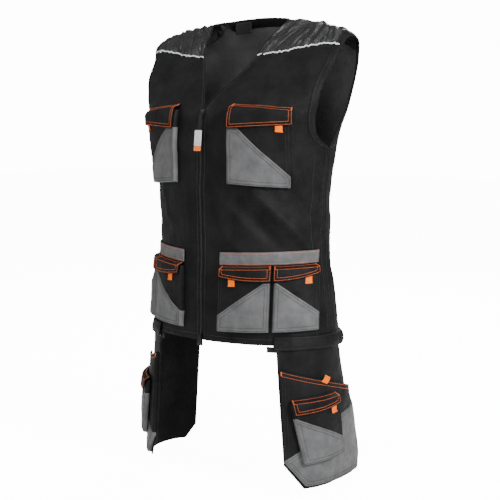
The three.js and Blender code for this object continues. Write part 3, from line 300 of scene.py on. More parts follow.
def crumple(x, y, z, seed, size):
    """Soft uneven dents, between about -1 and 1, of a given size in millimetres."""
    rng = np.random.default_rng(seed)
    total = 0
    for finer, share in ((1, 0.5), (1.9, 0.3), (3.7, 0.2)):
        for _ in range(4):
            wave = rng.normal(size=3)
            wave *= 2 * np.pi * finer / size / np.linalg.norm(wave)
            other = 0.37 * (wave[1] * x + wave[2] * y + wave[0] * z)
            bend = rng.uniform(0.5, 1.5) * np.sin(other + rng.uniform(0, 6))
            main = wave[0] * x + wave[1] * y + wave[2] * z
            total = total + share / 2 * np.sin(main + bend + rng.uniform(0, 6))
    return total


def smooth_step(t):
    t = np.clip(t, 0, 1)
    return t * t * (3 - 2 * t)


# height, place in turns, place down, width in turns, length
SWELLS = [
    (6, -0.82, 160, 0.3, 95), (-5, 1.42, 190, 0.3, 110), (4.5, 1.4, 470, 0.3, 100),
    (-5, 1.4, 372, 0.25, 26),
]


def swell(turn, down, at, at_down, wide, tall):
    return np.exp(-(((turn - at) / wide) ** 2) - ((down - at_down) / tall) ** 2)


def body_lift(turn, down):
    """How far folds, dents and the gathered hem lift the cloth off the plain body."""
    x = turn * FOLD_GIRTH
    lift = sum(ridge(x, down, fold) for fold in FOLDS)
    for height, at, at_down, wide, tall in SWELLS:
        lift = lift + height * swell(turn, down, at, at_down, wide, tall)
    angle = np.pi / 2 * turn
    round_x, round_y = CHEST_HALF_WIDTH * np.sin(angle), -CHEST_HALF_WIDTH * np.cos(angle)
    calm = 0.35 + 0.65 * smooth_step((down - 30) / 120)
    lift = lift + calm * 2.0 * crumple(round_x, round_y, 0.55 * down, 3, 170)
    lift = lift + calm * 0.6 * crumple(round_x, round_y, 0.8 * down, 4, 46)
    lift = lift + calm * 0.2 * crumple(round_x, round_y, down, 6, 17)
    side = np.abs(np.abs(turn) - 1.42)
    low = smooth_step((down - 600) / 45)
    gathers = np.sin(np.abs(turn) * 38 + 1.4 * np.sin(down / 17))
    return lift + low * np.exp(-((side / 0.26) ** 2)) * (3.6 + 2.6 * gathers)


def body_point(turn, down, out):
    return BODY.at(turn, down, out + body_lift(turn, down))


def on_body(side):
    """Places measured on the cloth: across from the centre front and down from the neck points."""
    return lambda across, down, out: body_point(side * turn_at(across, down), down, out)


# %% [markdown]
# ## The edges of the panels
# The neckline and both edges of the armholes are read once at every height, and the panels then
# run between them, from the hem over the armpit to the top edge.

# %% Edges as turns round the body
def turn_of_point(down, across, back):
    """The turn at which the section at this height is that far from the middle."""
    turns = np.linspace(1, 2, 121) if back else np.linspace(0, 1, 121)
    points = BODY.at(turns, down)
    if back:
        return np.interp(across, points[::-1, 0], turns[::-1])
    return np.interp(across, points[:, 0], turns)


def armhole_turn_at(down, front):
    share = np.clip((down - SHOULDER_DROP) / ARMHOLE_DEPTH, 0, 1)
    reach = ARMHOLE_FORWARD if front else -ARMHOLE_BACKWARD
    wanted = np.interp(down, LEVELS, CENTRES) - reach * smooth_curve(ARMHOLE, 1 if front else 2, share)
    turns = np.linspace(0, 2, 241)
    return np.interp(wanted, BODY.at(turns, down)[:, 1], turns)


ZIP_TEETH_WIDTH = 4.8


def neck_turn_at(down):
    across = smooth_curve(NECKLINE, 1, np.clip(down / NECK_DROP, 0, 1)) * NECK_HALF_WIDTH
    return turn_of_point(down, max(float(across), ZIP_TEETH_WIDTH / 2 + GAP), False)


EDGE_LEVELS = np.concatenate([np.arange(-NECK_RISE, 60, 0.5), np.arange(60, BODY_LENGTH + 30, 2.0)])
NECK_TURNS = np.array([neck_turn_at(down) for down in EDGE_LEVELS])
ARM_FRONT_TURNS = np.array([armhole_turn_at(down, True) for down in EDGE_LEVELS])
ARM_BACK_TURNS = np.array([armhole_turn_at(down, False) for down in EDGE_LEVELS])
SEAM_TURN = 0.3 / 330


def neck_turn(down):
    return np.interp(down, EDGE_LEVELS, NECK_TURNS)


def armhole_turn(down, front):
    if front:
        return np.interp(down, EDGE_LEVELS, ARM_FRONT_TURNS) - SEAM_TURN
    return np.interp(down, EDGE_LEVELS, ARM_BACK_TURNS) + SEAM_TURN


PIPING_WIDTH = 3
FRONT_TOP_SHORT = PIPING_WIDTH / 2 + GAP


def front_top(across):
    return smooth_curve(YOKE_FRONT, 1, across) * SHOULDER_DROP + FRONT_TOP_SHORT


def panel_down(row, top):
    """Rows of a body panel: 0 at the hem, 1 at the armpit, 2 at its top edge."""
    return np.where(row > 1, lerp(ARMPIT, top, row - 1), lerp(BODY_LENGTH, ARMPIT, row))


def front_place(across, row):
    down = panel_down(row, front_top(across))
    return lerp(neck_turn(down), armhole_turn(down, True), across), down


BACK_SHARES = np.linspace(0, 1, 101)
BACK_TOP_RISES = smooth_curve(BACK_TOP, 2, BACK_SHARES) * NECK_RISE
BACK_TOP_DOWNS = smooth_curve(BACK_TOP, 3, BACK_SHARES) * SHOULDER_DROP - BACK_TOP_RISES
BACK_TOP_ACROSS = smooth_curve(BACK_TOP, 1, BACK_SHARES)
BACK_TOP_TURNS = np.array([
    turn_of_point(down, across, True) for down, across in zip(BACK_TOP_DOWNS, BACK_TOP_ACROSS)
])
BACK_TOP_LENGTHS = np.interp(BACK_TOP_DOWNS, LEVELS, TOTALS) - length_at(BACK_TOP_TURNS, BACK_TOP_DOWNS)
# the columns keep apart at the corner where the neckline meets the yoke's seam
LEAST_SPREAD = 60 * BACK_SHARES
BACK_TOP_LENGTHS = np.maximum.accumulate(BACK_TOP_LENGTHS - LEAST_SPREAD) + LEAST_SPREAD


def back_place(across, row):
    """The back panel: across -1 at the right side to 1 at the left."""
    share = np.abs(across)
    seam = 0.3 * smooth_step((share - YOKE_BACK_START + 0.08) / 0.16)
    down = panel_down(row, np.interp(share, BACK_SHARES, BACK_TOP_DOWNS) + seam)
    total = np.interp(down, LEVELS, TOTALS)
    even = share * (total - length_at(armhole_turn(down, False), down))
    from_centre = np.interp(share, BACK_SHARES, BACK_TOP_LENGTHS)
    length = total - lerp(even, from_centre, np.clip(row - 1, 0, None) ** 2)
    turn = turn_at(length, down)
    return np.where(across < 0, 4 - turn, turn), down


def back_point(across, row, out):
    turn, down = back_place(across, row)
    turn = np.where(turn > 2.05, turn - 4, turn)
    return body_point(turn, down, out)


YOKE_LAP = 1.3
RIDGE_LEVELS = np.linspace(0, SHOULDER_DROP, 201)
RIDGE_HALVES = smooth_curve(SECTIONS, 1, RIDGE_LEVELS)
TIP_SHARE = 0.972


def yoke_place(along, over):
    """A yoke: along from the neck to the shoulder tip, over from its front seam to its back seam."""
    along, over = np.broadcast_arrays(np.asarray(along, float), np.asarray(over, float))
    ridge_across = lerp(NECK_HALF_WIDTH, TIP_SHARE * SHOULDER_HALF_WIDTH, along)
    ridge_down = np.interp(ridge_across, RIDGE_HALVES, RIDGE_LEVELS)
    front_end = front_top(along) - YOKE_LAP
    front_turn = lerp(neck_turn(front_end), armhole_turn(front_end, True), along)
    front_across = BODY.at(front_turn, front_end)[..., 0]
    back_share = lerp(YOKE_BACK_START, 1, along)
    back_end = np.interp(back_share, BACK_SHARES, BACK_TOP_DOWNS) - 0.3
    back_across = np.interp(back_share, BACK_SHARES, BACK_TOP_ACROSS)
    end = np.where(over < 0, front_end, back_end)
    end_across = np.where(over < 0, front_across, back_across)
    down = lerp(ridge_down, end, over**2)
    across = lerp(ridge_across, end_across, np.abs(over) ** 1.5)
    turn = np.array([
        turn_of_point(d, a, o >= 0) for d, a, o in zip(down.ravel(), across.ravel(), over.ravel())
    ]).reshape(down.shape)
    return turn, down


print("neck, armhole and yoke edges read at", len(EDGE_LEVELS), "heights")

# %% [markdown]
# ## Cloth as a mesh
# A piece of cloth is two grids, its outer and its inner face, joined round the edge by a soft rim.
# Its UV map is in metres on the flat cloth, so a weave drawn with it keeps its size and runs with
# the grain of each piece.

# %% Mesh helpers
def new_object(name, vertices, faces, uvs=None):
    mesh = bpy.data.meshes.new(name)
    mesh.from_pydata((np.asarray(vertices) * MM).tolist(), [], faces)
    if uvs is not None:
        layer = mesh.uv_layers.new(name="cloth")
        loops = np.zeros(len(mesh.loops), dtype=int)
        mesh.loops.foreach_get("vertex_index", loops)
        layer.data.foreach_set("uv", (np.asarray(uvs)[loops] * MM).ravel())
    mesh.polygons.foreach_set("use_smooth", [True] * len(mesh.polygons))
    mesh.update()
    obj = bpy.data.objects.new(name, mesh)
    bpy.context.scene.collection.objects.link(obj)
    return obj


def face_outwards(obj):
    mesh = bmesh.new()
    mesh.from_mesh(obj.data)
    bmesh.ops.recalc_face_normals(mesh, faces=mesh.faces)
    mesh.to_mesh(obj.data)
    mesh.free()
    return obj


def ring_faces(count, size):
    """Faces between rings of points that follow each other, with a cap at each end."""
    faces = []
    for i in range(count - 1):
        for k in range(size):
            a, b = i * size + k, i * size + (k + 1) % size
            faces.append((a, a + size, b + size, b))
    return faces + [tuple(range(size)), tuple(count * size - 1 - k for k in range(size))]


def run_along(points):
    """How far each point lies along the line through them."""
    steps = np.linalg.norm(np.diff(points, axis=0), axis=1)
    return np.concatenate([[0], np.cumsum(steps)])


def border_of(rows, cols):
    """The rim of a grid, once round, and for each rim point the point just inside it."""
    ring, inside = [], []
    for i in range(cols):
        ring.append((0, i)), inside.append((1, min(max(i, 1), cols - 2)))
    for j in range(1, rows):
        ring.append((j, cols - 1)), inside.append((min(j, rows - 2), cols - 2))
    for i in range(cols - 2, -1, -1):
        ring.append((rows - 1, i)), inside.append((rows - 2, max(i, 1)))
    for j in range(rows - 2, 0, -1):
        ring.append((j, 0)), inside.append((j, 1))
    return np.array(ring), np.array(inside)


def shell(name, outer, inner, rim=0.45):
    """A closed sheet between two grids of points, with a rounded rim."""
    rows, cols = outer.shape[:2]
    ring, inside = border_of(rows, cols)
    o = outer[ring[:, 0], ring[:, 1]]
    i = inner[ring[:, 0], ring[:, 1]]
    away = o + i - outer[inside[:, 0], inside[:, 1]] - inner[inside[:, 0], inside[:, 1]]
    thick = np.linalg.norm(o - i, axis=1, keepdims=True)
    middle = (o + i) / 2 + unit(away) * rim * thick
    count = rows * cols
    vertices = np.concatenate([outer.reshape(-1, 3), inner.reshape(-1, 3), middle])
    grid = np.arange(count).reshape(rows, cols)
    corners = (grid[:-1, :-1], grid[:-1, 1:], grid[1:, 1:], grid[1:, :-1])
    a, b, c, d = (corner.ravel() for corner in corners)
    top = np.stack([a, b, c, d], axis=1)
    under = np.stack([a, d, c, b], axis=1) + count
    edge = ring[:, 0] * cols + ring[:, 1]
    following = np.roll(edge, -1)
    rim_ids = 2 * count + np.arange(len(edge))
    rim_next = np.roll(rim_ids, -1)
    upper = np.stack([edge, rim_ids, rim_next, following], axis=1)
    lower = np.stack([rim_ids, edge + count, following + count, rim_next], axis=1)
    faces = np.concatenate([top, under, upper, lower])
    j, k = rows // 2 - 1, cols // 2 - 1
    normal = np.cross(outer[j, k + 1] - outer[j, k], outer[j + 1, k] - outer[j, k])
    if np.dot(normal, outer[j, k] - inner[j, k]) < 0:
        faces = faces[:, ::-1]
    us, vs = run_along(outer[rows // 2]), run_along(outer[:, cols // 2])
    flat = np.stack(np.meshgrid(us, vs), axis=2).reshape(-1, 2)
    uvs = np.concatenate([flat, flat, flat[edge]])
    obj = new_object(name, vertices, faces.tolist(), uvs)
    obj["flat"] = [us[-1] * MM, vs[-1] * MM]
    obj["face_count"] = len(top)
    return obj


def cloth_area(obj):
    """Half of the mesh's surface, which is the area of one face of the sheet."""
    return sum(polygon.area for polygon in obj.data.polygons) / 2


LEAST_FLAT = 0.0102


def sewn(obj, material, nodes):
    """Gives a sheet its finish, hangs it on the root and hides the solids that it stands for."""
    obj.data.materials.append(material)
    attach(obj, "root")
    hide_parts(*nodes)
    area = cloth_area(obj)
    width, length = obj["flat"]
    width, length = max(width, LEAST_FLAT), max(length, LEAST_FLAT)
    stretch = max(1.0, math.sqrt(area / (width * length)))
    width, length = width * stretch, length * stretch
    return obj


def paint_light_inside(obj, material):
    """The wearer's side of a sheet gets a duller cloth painted many times lighter: painted light for
    the inside, which lies in shade.
    """
    obj.data.materials.append(material)
    count = obj["face_count"]
    for polygon in obj.data.polygons[count:2 * count]:
        polygon.material_index = 1


def trim_of(obj, material, nodes=()):
    """A small piece that goes with a sheet, such as thread, webbing or a zip part."""
    obj.data.materials.append(material)
    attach(obj, "root")
    if nodes:
        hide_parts(*nodes)
    return obj


# %% [markdown]
# ## Finishes
# The vest has a black twill, a grey hard-wearing cloth, a smooth dark cloth on the yokes, orange,
# charcoal and dark thread, orange webbing, silver piping and black plastic. What several finishes
# share, the twill lines and the uneven tone of used cloth, is a node group with its own inputs.
# The twill runs on the UV map in metres. The uneven tone reads Object coordinates.

# %% Node helpers and the shared groups
def group_with(name, inputs, outputs):
    group = bpy.data.node_groups.new(name, "ShaderNodeTree")
    for label, kind, value in inputs:
        socket = group.interface.new_socket(name=label, in_out="INPUT", socket_type=kind)
        socket.default_value = value
    for label, kind in outputs:
        group.interface.new_socket(name=label, in_out="OUTPUT", socket_type=kind)
    entry = group.nodes.new("NodeGroupInput")
    leave = group.nodes.new("NodeGroupOutput")
    return group, entry, leave


def math_node(tree, operation, a, b=None):
    node = tree.nodes.new("ShaderNodeMath")
    node.operation = operation
    for socket, value in zip(node.inputs, (a, b)):
        if value is None:
            continue
        if isinstance(value, (int, float)):
            socket.default_value = value
        else:
            tree.links.new(value, socket)
    return node.outputs[0]


def weave_group():
    """Slanted twill lines with crossing threads. Height is 0 to 1."""
    group, entry, leave = group_with(
        "twill_weave",
        [("Pitch", "NodeSocketFloat", 0.0012), ("Slant", "NodeSocketFloat", 1.0)],
        [("Height", "NodeSocketFloat")],
    )
    uv = group.nodes.new("ShaderNodeUVMap")
    uv.uv_map = "cloth"
    split = group.nodes.new("ShaderNodeSeparateXYZ")
    group.links.new(uv.outputs[0], split.inputs[0])
    slanted = math_node(group, "MULTIPLY", split.outputs[1], entry.outputs["Slant"])
    along = math_node(group, "ADD", split.outputs[0], slanted)
    rate = math_node(group, "DIVIDE", 6.2832, entry.outputs["Pitch"])
    lines = math_node(group, "SINE", math_node(group, "MULTIPLY", along, rate))
    cross = math_node(group, "SUBTRACT", split.outputs[0], split.outputs[1])
    threads = math_node(group, "SINE", math_node(group, "MULTIPLY", cross, rate))
    lines = math_node(group, "MULTIPLY", lines, 0.35)
    threads = math_node(group, "MULTIPLY", threads, 0.15)
    both = math_node(group, "ADD", lines, threads)
    group.links.new(math_node(group, "ADD", both, 0.5), leave.inputs["Height"])
    return group


def tone_group():
    """Uneven tone: broad cloudy patches and small specks of lint."""
    group, entry, leave = group_with(
        "uneven_tone",
        [
            ("Dark", "NodeSocketColor", (0, 0, 0, 1)),
            ("Light", "NodeSocketColor", (1, 1, 1, 1)),
            ("Size", "NodeSocketFloat", 14.0),
            ("Lint", "NodeSocketFloat", 0.1),
        ],
        [("Color", "NodeSocketColor"), ("Patches", "NodeSocketFloat")],
    )
    coordinates = group.nodes.new("ShaderNodeTexCoord")
    clouds = group.nodes.new("ShaderNodeTexNoise")
    clouds.inputs["Detail"].default_value = 6
    clouds.inputs["Roughness"].default_value = 0.6
    group.links.new(coordinates.outputs["Object"], clouds.inputs["Vector"])
    group.links.new(entry.outputs["Size"], clouds.inputs["Scale"])
    specks = group.nodes.new("ShaderNodeTexNoise")
    specks.inputs["Scale"].default_value = 420
    specks.inputs["Detail"].default_value = 3
    group.links.new(coordinates.outputs["Object"], specks.inputs["Vector"])
    spread = group.nodes.new("ShaderNodeMapRange")
    spread.inputs["From Min"].default_value = 0.32
    spread.inputs["From Max"].default_value = 0.68
    group.links.new(clouds.outputs["Fac"], spread.inputs["Value"])
    centred = math_node(group, "SUBTRACT", specks.outputs["Fac"], 0.5)
    lint = math_node(group, "MULTIPLY", centred, entry.outputs["Lint"])
    factor = math_node(group, "ADD", spread.outputs["Result"], lint)
    mix = group.nodes.new("ShaderNodeMix")
    mix.data_type = "RGBA"
    group.links.new(factor, mix.inputs[0])
    group.links.new(entry.outputs["Dark"], mix.inputs[6])
    group.links.new(entry.outputs["Light"], mix.inputs[7])
    group.links.new(mix.outputs[2], leave.inputs["Color"])
    group.links.new(spread.outputs["Result"], leave.inputs["Patches"])
    return group


WEAVE = weave_group()
TONE = tone_group()


def finish_of(
    name, dark, light, roughness,
    pitch=0.0012, size=14.0, lint=0.6, bump=0.3, sheen=0.0, shine=0.25, weave=True,
):
    """A cloth finish: uneven tone, twill in the bump and in the roughness, and soft sheen."""
    material = bpy.data.materials.new(name)
    material.use_nodes = True
    tree = material.node_tree
    shader = tree.nodes["Principled BSDF"]
    tone = tree.nodes.new("ShaderNodeGroup")
    tone.node_tree = TONE
    tone.inputs["Dark"].default_value = (*dark, 1)
    tone.inputs["Light"].default_value = (*light, 1)
    tone.inputs["Size"].default_value = size
    tone.inputs["Lint"].default_value = lint
    tree.links.new(tone.outputs["Color"], shader.inputs["Base Color"])
    rough = tree.nodes.new("ShaderNodeMapRange")
    rough.inputs["To Min"].default_value = roughness + 0.06
    rough.inputs["To Max"].default_value = roughness - 0.06
    tree.links.new(tone.outputs["Patches"], rough.inputs["Value"])
    tree.links.new(rough.outputs["Result"], shader.inputs["Roughness"])
    shader.inputs["Specular IOR Level"].default_value = shine
    shader.inputs["Sheen Weight"].default_value = sheen
    shader.inputs["Sheen Roughness"].default_value = 0.5
    height = tone.outputs["Patches"]
    if weave:
        lines = tree.nodes.new("ShaderNodeGroup")
        lines.node_tree = WEAVE
        lines.inputs["Pitch"].default_value = pitch
        height = lines.outputs["Height"]
    relief = tree.nodes.new("ShaderNodeBump")
    relief.inputs["Strength"].default_value = bump
    relief.inputs["Distance"].default_value = 0.0004
    tree.links.new(height, relief.inputs["Height"])
    tree.links.new(relief.outputs["Normal"], shader.inputs["Normal"])
    return material


BLACK_TWILL = finish_of(
    "black_twill", (0.0035, 0.0035, 0.0036), (0.0088, 0.0088, 0.009), 0.52,
    size=20, lint=0.9, sheen=0.006, shine=0.08,
)
# The inside of the same black twill is given a colour many times lighter: painted light for the inside
# of the vest, which lies in shade.
INSIDE_TWILL_PAINTED_LIGHT = finish_of(
    "twill_inside_painted_light", (0.068, 0.068, 0.07), (0.1, 0.1, 0.103), 0.8,
    shine=0.1,
)
EDGE_TWILL = finish_of(
    "edge_twill", (0.005, 0.005, 0.0052), (0.01, 0.01, 0.0103), 0.7,
    shine=0.12,
)
GREY_CLOTH = finish_of(
    "grey_cloth", (0.059, 0.0595, 0.061), (0.094, 0.095, 0.097), 0.5,
    pitch=0.0009, size=40, lint=0.6, sheen=0.02, shine=0.3,
)
YOKE_CLOTH = finish_of(
    "yoke_cloth", (0.003, 0.003, 0.0031), (0.0125, 0.0125, 0.013), 0.3,
    pitch=0.0008, size=75, lint=0.6, sheen=0.006, shine=0.36,
)
WEBBING = finish_of(
    "orange_webbing", (0.7, 0.125, 0.006), (0.84, 0.165, 0.009), 0.8,
    pitch=0.0022, size=60, lint=0.3, bump=0.6, shine=0.03,
)
ORANGE_THREAD = finish_of(
    "orange_thread", (0.5, 0.085, 0.016), (0.72, 0.15, 0.034), 0.55,
    size=160, weave=False,
)
CHARCOAL_THREAD = finish_of(
    "charcoal_thread", (0.02, 0.02, 0.021), (0.045, 0.045, 0.047), 0.5,
    size=160, weave=False,
)
DARK_THREAD = finish_of(
    "dark_thread", (0.007, 0.007, 0.0075), (0.016, 0.016, 0.017), 0.6,
    size=160, weave=False,
)
SILVER_PIPING = finish_of(
    "silver_piping", (0.5, 0.51, 0.52), (0.78, 0.79, 0.8), 0.4,
    size=150, weave=False, bump=0.4, shine=0.5,
)
BLACK_PLASTIC = finish_of(
    "black_plastic", (0.004, 0.004, 0.0043), (0.008, 0.008, 0.0083), 0.34,
    size=200, weave=False, bump=0.1, shine=0.3,
)
ZIP_TAPE = finish_of(
    "zip_tape", (0.005, 0.005, 0.0055), (0.01, 0.01, 0.0105), 0.75,
    pitch=0.0016,
)
TAG_RUBBER = finish_of(
    "tag_rubber", (0.42, 0.42, 0.42), (0.6, 0.6, 0.6), 0.5,
    size=90, weave=False, bump=0.15,
)
TAG_TIP = finish_of(
    "tag_tip", (0.7, 0.14, 0.014), (0.8, 0.19, 0.022), 0.5,
    size=90, weave=False, bump=0.15,
)
print(len(bpy.data.materials), "finishes")

# %% [markdown]
# ## Thread
# Topstitching is the vest's most visible detail. A stitch could be painted, but real thread stands
# above the cloth and catches light, so each stitch is a little flattened bead whose ends dip into
# the cloth. Rows are given by corner points on a piece, and the stitches are spaced evenly along.

# %% Rows of stitches
STITCH_PITCH = 3.6
STITCH_LENGTH = 2.6
SIDES_OF_THREAD = 5
FINE_THREAD = 0.36
# share of the stitch, share of its radius, how deep it is sunk as a share of the radius
BEAD = [(0.0, 0.35, -0.55), (0.22, 1.0, 0.0), (0.78, 1.0, 0.0), (1.0, 0.35, -0.55)]


def stitch_row(place, corners, out=0.25, pitch=STITCH_PITCH, length=STITCH_LENGTH):
    """Start, end and outward direction of each stitch along a line of corners on a piece."""
    corners = np.asarray(corners, float)
    dense = [corners[:1]]
    for a, b in zip(corners[:-1], corners[1:]):
        steps = max(2, int(np.hypot(*(b - a)) / 1.5))
        dense.append(lerp(a, b, np.linspace(0, 1, steps + 1)[1:, None]))
    dense = np.concatenate(dense)
    points = place(dense[:, 0], dense[:, 1], np.full(len(dense), out))
    outward = place(dense[:, 0], dense[:, 1], np.full(len(dense), out + 1.0)) - points
    run = run_along(points)
    count = max(1, int(round(run[-1] / pitch)))
    middles = (np.arange(count) + 0.5) * run[-1] / count

    def read(values, at):
        return np.stack([np.interp(at, run, values[:, k]) for k in range(3)], axis=1)

    starts, ends = read(points, middles - length / 2), read(points, middles + length / 2)
    return starts, ends, read(outward, middles)


def thread(name, rows, radius):
    """One mesh with all the stitches of some rows."""
    starts, ends, outs = (np.concatenate([row[k] for row in rows]) for k in range(3))
    along = unit(ends - starts)
    side = unit(np.cross(along, outs))
    up = np.cross(side, along)
    turns = np.arange(SIDES_OF_THREAD) * 2 * np.pi / SIDES_OF_THREAD
    vertices = []
    for share, wide, sunk in BEAD:
        centre = lerp(starts, ends, share) + up * sunk * radius
        for turn in turns:
            spoke = math.cos(turn) * side + 0.8 * math.sin(turn) * up
            vertices.append(centre + radius * wide * spoke)
    vertices = np.stack(vertices, axis=1)
    bead, size = ring_faces(len(BEAD), SIDES_OF_THREAD), vertices.shape[1]
    faces = [tuple(i + size * n for i in face) for n in range(len(starts)) for face in bead]
    return new_object(name, vertices.reshape(-1, 3), faces)


def sewn_thread(name, rows, finish=CHARCOAL_THREAD, radius=FINE_THREAD):
    return trim_of(thread(name, rows, radius), finish)


def bartack(place, centre, direction, out=0.3, long=8.0, wide=2.6):
    """A dense block of crosswise stitches that locks the end of a seam."""
    centre, direction = np.asarray(centre, float), np.asarray(direction, float)
    direction = direction / np.hypot(*direction)
    across = np.array([-direction[1], direction[0]])
    rows = []
    for step in np.arange(-long / 2, long / 2 + 0.1, 0.9):
        middle = centre + step * direction
        ends = [middle - across * wide / 2, middle + across * wide / 2]
        rows.append(stitch_row(place, ends, out, pitch=9.0, length=wide))
    return rows


def turn_between(a, b):
    return a[0] * b[1] - a[1] * b[0]


def inset_polygon(corners, distance):
    """The outline moved inwards. It works for outlines without a hollow corner."""
    corners = np.asarray(corners, float)
    following = np.roll(corners, -1, axis=0)
    area = sum(turn_between(a, b) for a, b in zip(corners, following))
    lines = []
    for a, b in zip(corners, following):
        d = (b - a) / np.hypot(*(b - a))
        lines.append((a + np.array([-d[1], d[0]]) * np.sign(area) * distance, d))
    result = []
    for k in range(len(corners)):
        (p, d), (q, e) = lines[k - 1], lines[k]
        turn = turn_between(d, e)
        result.append(p + turn_between(q - p, e) / turn * d if abs(turn) > 0.02 else q)
    return np.array(result)


print("stitches every", STITCH_PITCH, "mm")

# %% [markdown]
# ## The body panels
# Two fronts, a back and two yokes. Each is a fine grid on the body surface. A seam pulls the cloth
# in a little, so a shallow groove is pressed into the fronts where they are joined or topstitched.

# %% Fronts and back
def groove(distance, width=1.6, depth=0.7):
    return -depth * np.exp(-((distance / width) ** 2))


def front_point(side):
    def place(across, row, out):
        turn, down = front_place(across, row)
        span = length_at(armhole_turn(down, True), down) - length_at(neck_turn(down), down)
        from_edge = across * span
        to_side = (1 - across) * span
        side_fold = np.where(row < 1, groove(to_side - 34, 2.0, 0.9), 0)
        dent = groove(from_edge - 9) + groove(to_side - 9) + side_fold
        return body_point(side * turn, down, out + np.where(np.asarray(out) > -1, dent, 0))

    return place


def panel_rows(count_below, count_above):
    return np.concatenate([np.linspace(0, 1, count_below), np.linspace(1, 2, count_above)[1:]])


def grids(place, us, vs, inner, outer):
    u, v = np.meshgrid(us, vs)
    return place(u, v, np.full(u.shape, float(outer))), place(u, v, np.full(u.shape, float(inner)))


def back_side(side):
    return lambda across, row, out: back_point(side * across, row, out)


ROW_UNIT = 300


def measured(place, wide, tall, from_far_edge=False):
    """The same piece with places in about millimetres, from its near or its far edge."""
    def place_at(u, v, out):
        return place(1 - u / wide if from_far_edge else u / wide, v / tall, out)

    return place_at


SIDES = (("left", 1), ("right", -1))
HEM_ROW = BODY_LENGTH - 11
for name, side in SIDES:
    place = front_point(side)
    outer, inner = grids(place, np.linspace(0, 1, 70), panel_rows(74, 50), -CLOTH, 0)
    front = shell(f"front_cloth_{name}", outer, inner)
    from_side = measured(place, 262, ROW_UNIT, from_far_edge=True)
    rows = [
        stitch_row(measured(place, 280, ROW_UNIT), [(6.5, 0), (6.5, 600)], out=0.05),
        stitch_row(from_side, [(7, 4), (7, 296)], out=0.05),
        stitch_row(from_side, [(36, 4), (36, 290)], out=0.05),
        stitch_row(on_body(side), [(9, HEM_ROW), (272, HEM_ROW)]),
    ]
    seams = sewn_thread(f"front_thread_{name}", rows, radius=0.42)
    sewn(front, BLACK_TWILL, [f"front_panel_{name}"])
    paint_light_inside(front, INSIDE_TWILL_PAINTED_LIGHT)
    print(front.name, [round(x, 3) for x in front["flat"]])

u, v = np.meshgrid(np.linspace(-1, 1, 181), panel_rows(74, 50))
back = shell("back_cloth", back_point(-u, v, 0 * u), back_point(-u, v, 0 * u - CLOTH))
rows = []
for side in (1, -1):
    from_side = measured(back_side(side), 262, ROW_UNIT, from_far_edge=True)
    from_middle = measured(back_side(side), 250, ROW_UNIT)
    rows.append(stitch_row(from_side, [(7, 4), (7, 296)], out=0.2))
    rows.append(stitch_row(from_middle, [(80, 594), (236, 594)], out=0.2))
    rows.append(stitch_row(from_middle, [(0, 8), (250, 8)], out=0.2))
seams = sewn_thread("back_thread", rows)
sewn(back, BLACK_TWILL, ["back_panel"])
paint_light_inside(back, INSIDE_TWILL_PAINTED_LIGHT)
print(back.name, [round(x, 3) for x in back["flat"]])

# %% [markdown]
# The yokes are of a smoother cloth and are gathered into their seams: short sharp puckers along the
# piping, and a few long folds that run out from the neck. The puckers fade towards the ridge of
# the shoulder. The piping is a thin cord in a silver sleeve, so it is a round bead along the seam.

# %% Yokes and piping
# share along the yoke, height, width as a share, slant
YOKE_FOLDS = [
    (0.06, 2.2, 0.02, 0.05), (0.12, -2.4, 0.012, 0.14), (0.18, 4.2, 0.026, 0.3),
    (0.25, -3.2, 0.014, 0.34), (0.33, 4.6, 0.03, 0.26), (0.4, -3.4, 0.012, 0.2),
    (0.46, 2.6, 0.03, -0.16), (0.53, -2.6, 0.012, 0.12), (0.58, 3.4, 0.022, 0.22),
    (0.66, -2.6, 0.012, -0.1), (0.71, 2.6, 0.02, -0.18), (0.78, -2.2, 0.011, 0.1),
    (0.83, 2.8, 0.02, 0.06),
]


def pucker(along, over, seed):
    """Gathers of a yoke, in millimetres."""
    rng = np.random.default_rng(seed)
    lift = 0
    for _ in range(7):
        rate, phase, lean = rng.uniform(9, 24), rng.uniform(0, 6), rng.uniform(-1.2, 1.2)
        lift = lift + np.sin(rate * np.pi * along + phase + lean * over)
    near_seam = 0.3 + 0.7 * np.abs(over) ** 1.5
    fade = np.clip(1.02 - np.abs(over), 0, 1) ** 0.25
    long_folds = 0
    for at, tall, wide, lean in YOKE_FOLDS:
        long_folds = long_folds + tall * np.exp(-(((along - at - lean * over) / wide) ** 2))
    ends = smooth_step(along / 0.04) * smooth_step((0.93 - along) / 0.12)
    uneven = 0.75 + 0.35 * np.sin(5 * over + 19 * along + seed) + 0.2 * np.sin(11 * over - 7 * along)
    return (0.45 * lift * near_seam + uneven * long_folds) * fade * ends


def tube(name, centres, radius, sides=10):
    """A round bead along a line of points."""
    tangent = unit(np.gradient(centres, axis=0))
    first = unit(np.cross(tangent, np.array([0.0, 0.0, 1.0])))
    second = np.cross(tangent, first)
    angles = (np.arange(sides) * 2 * np.pi / sides)[None, :, None]
    ring = radius * (np.cos(angles) * first[:, None] + np.sin(angles) * second[:, None])
    vertices = (centres[:, None] + ring).reshape(-1, 3)
    faces = ring_faces(len(centres), sides)
    return face_outwards(new_object(name, vertices, faces, np.zeros((len(vertices), 2))))


def piping_line(side):
    across = np.linspace(0.004, 0.93, 220)
    down = front_top(across) - FRONT_TOP_SHORT
    turn = lerp(neck_turn(down), armhole_turn(down, True), across)
    ripple = 0.9 * np.sin(across * 66 + 2 * np.sin(across * 21)) + 0.5 * np.sin(across * 150 + 1)
    gathers = 0.55 + 0.35 * np.sin(across * 240 + np.sin(across * 47))
    return body_point(side * turn, down + ripple, gathers)


def yoke_side(side):
    def place(along, over, out):
        turn, down = yoke_place(along, over)
        return body_point(side * turn, down, out)

    return place


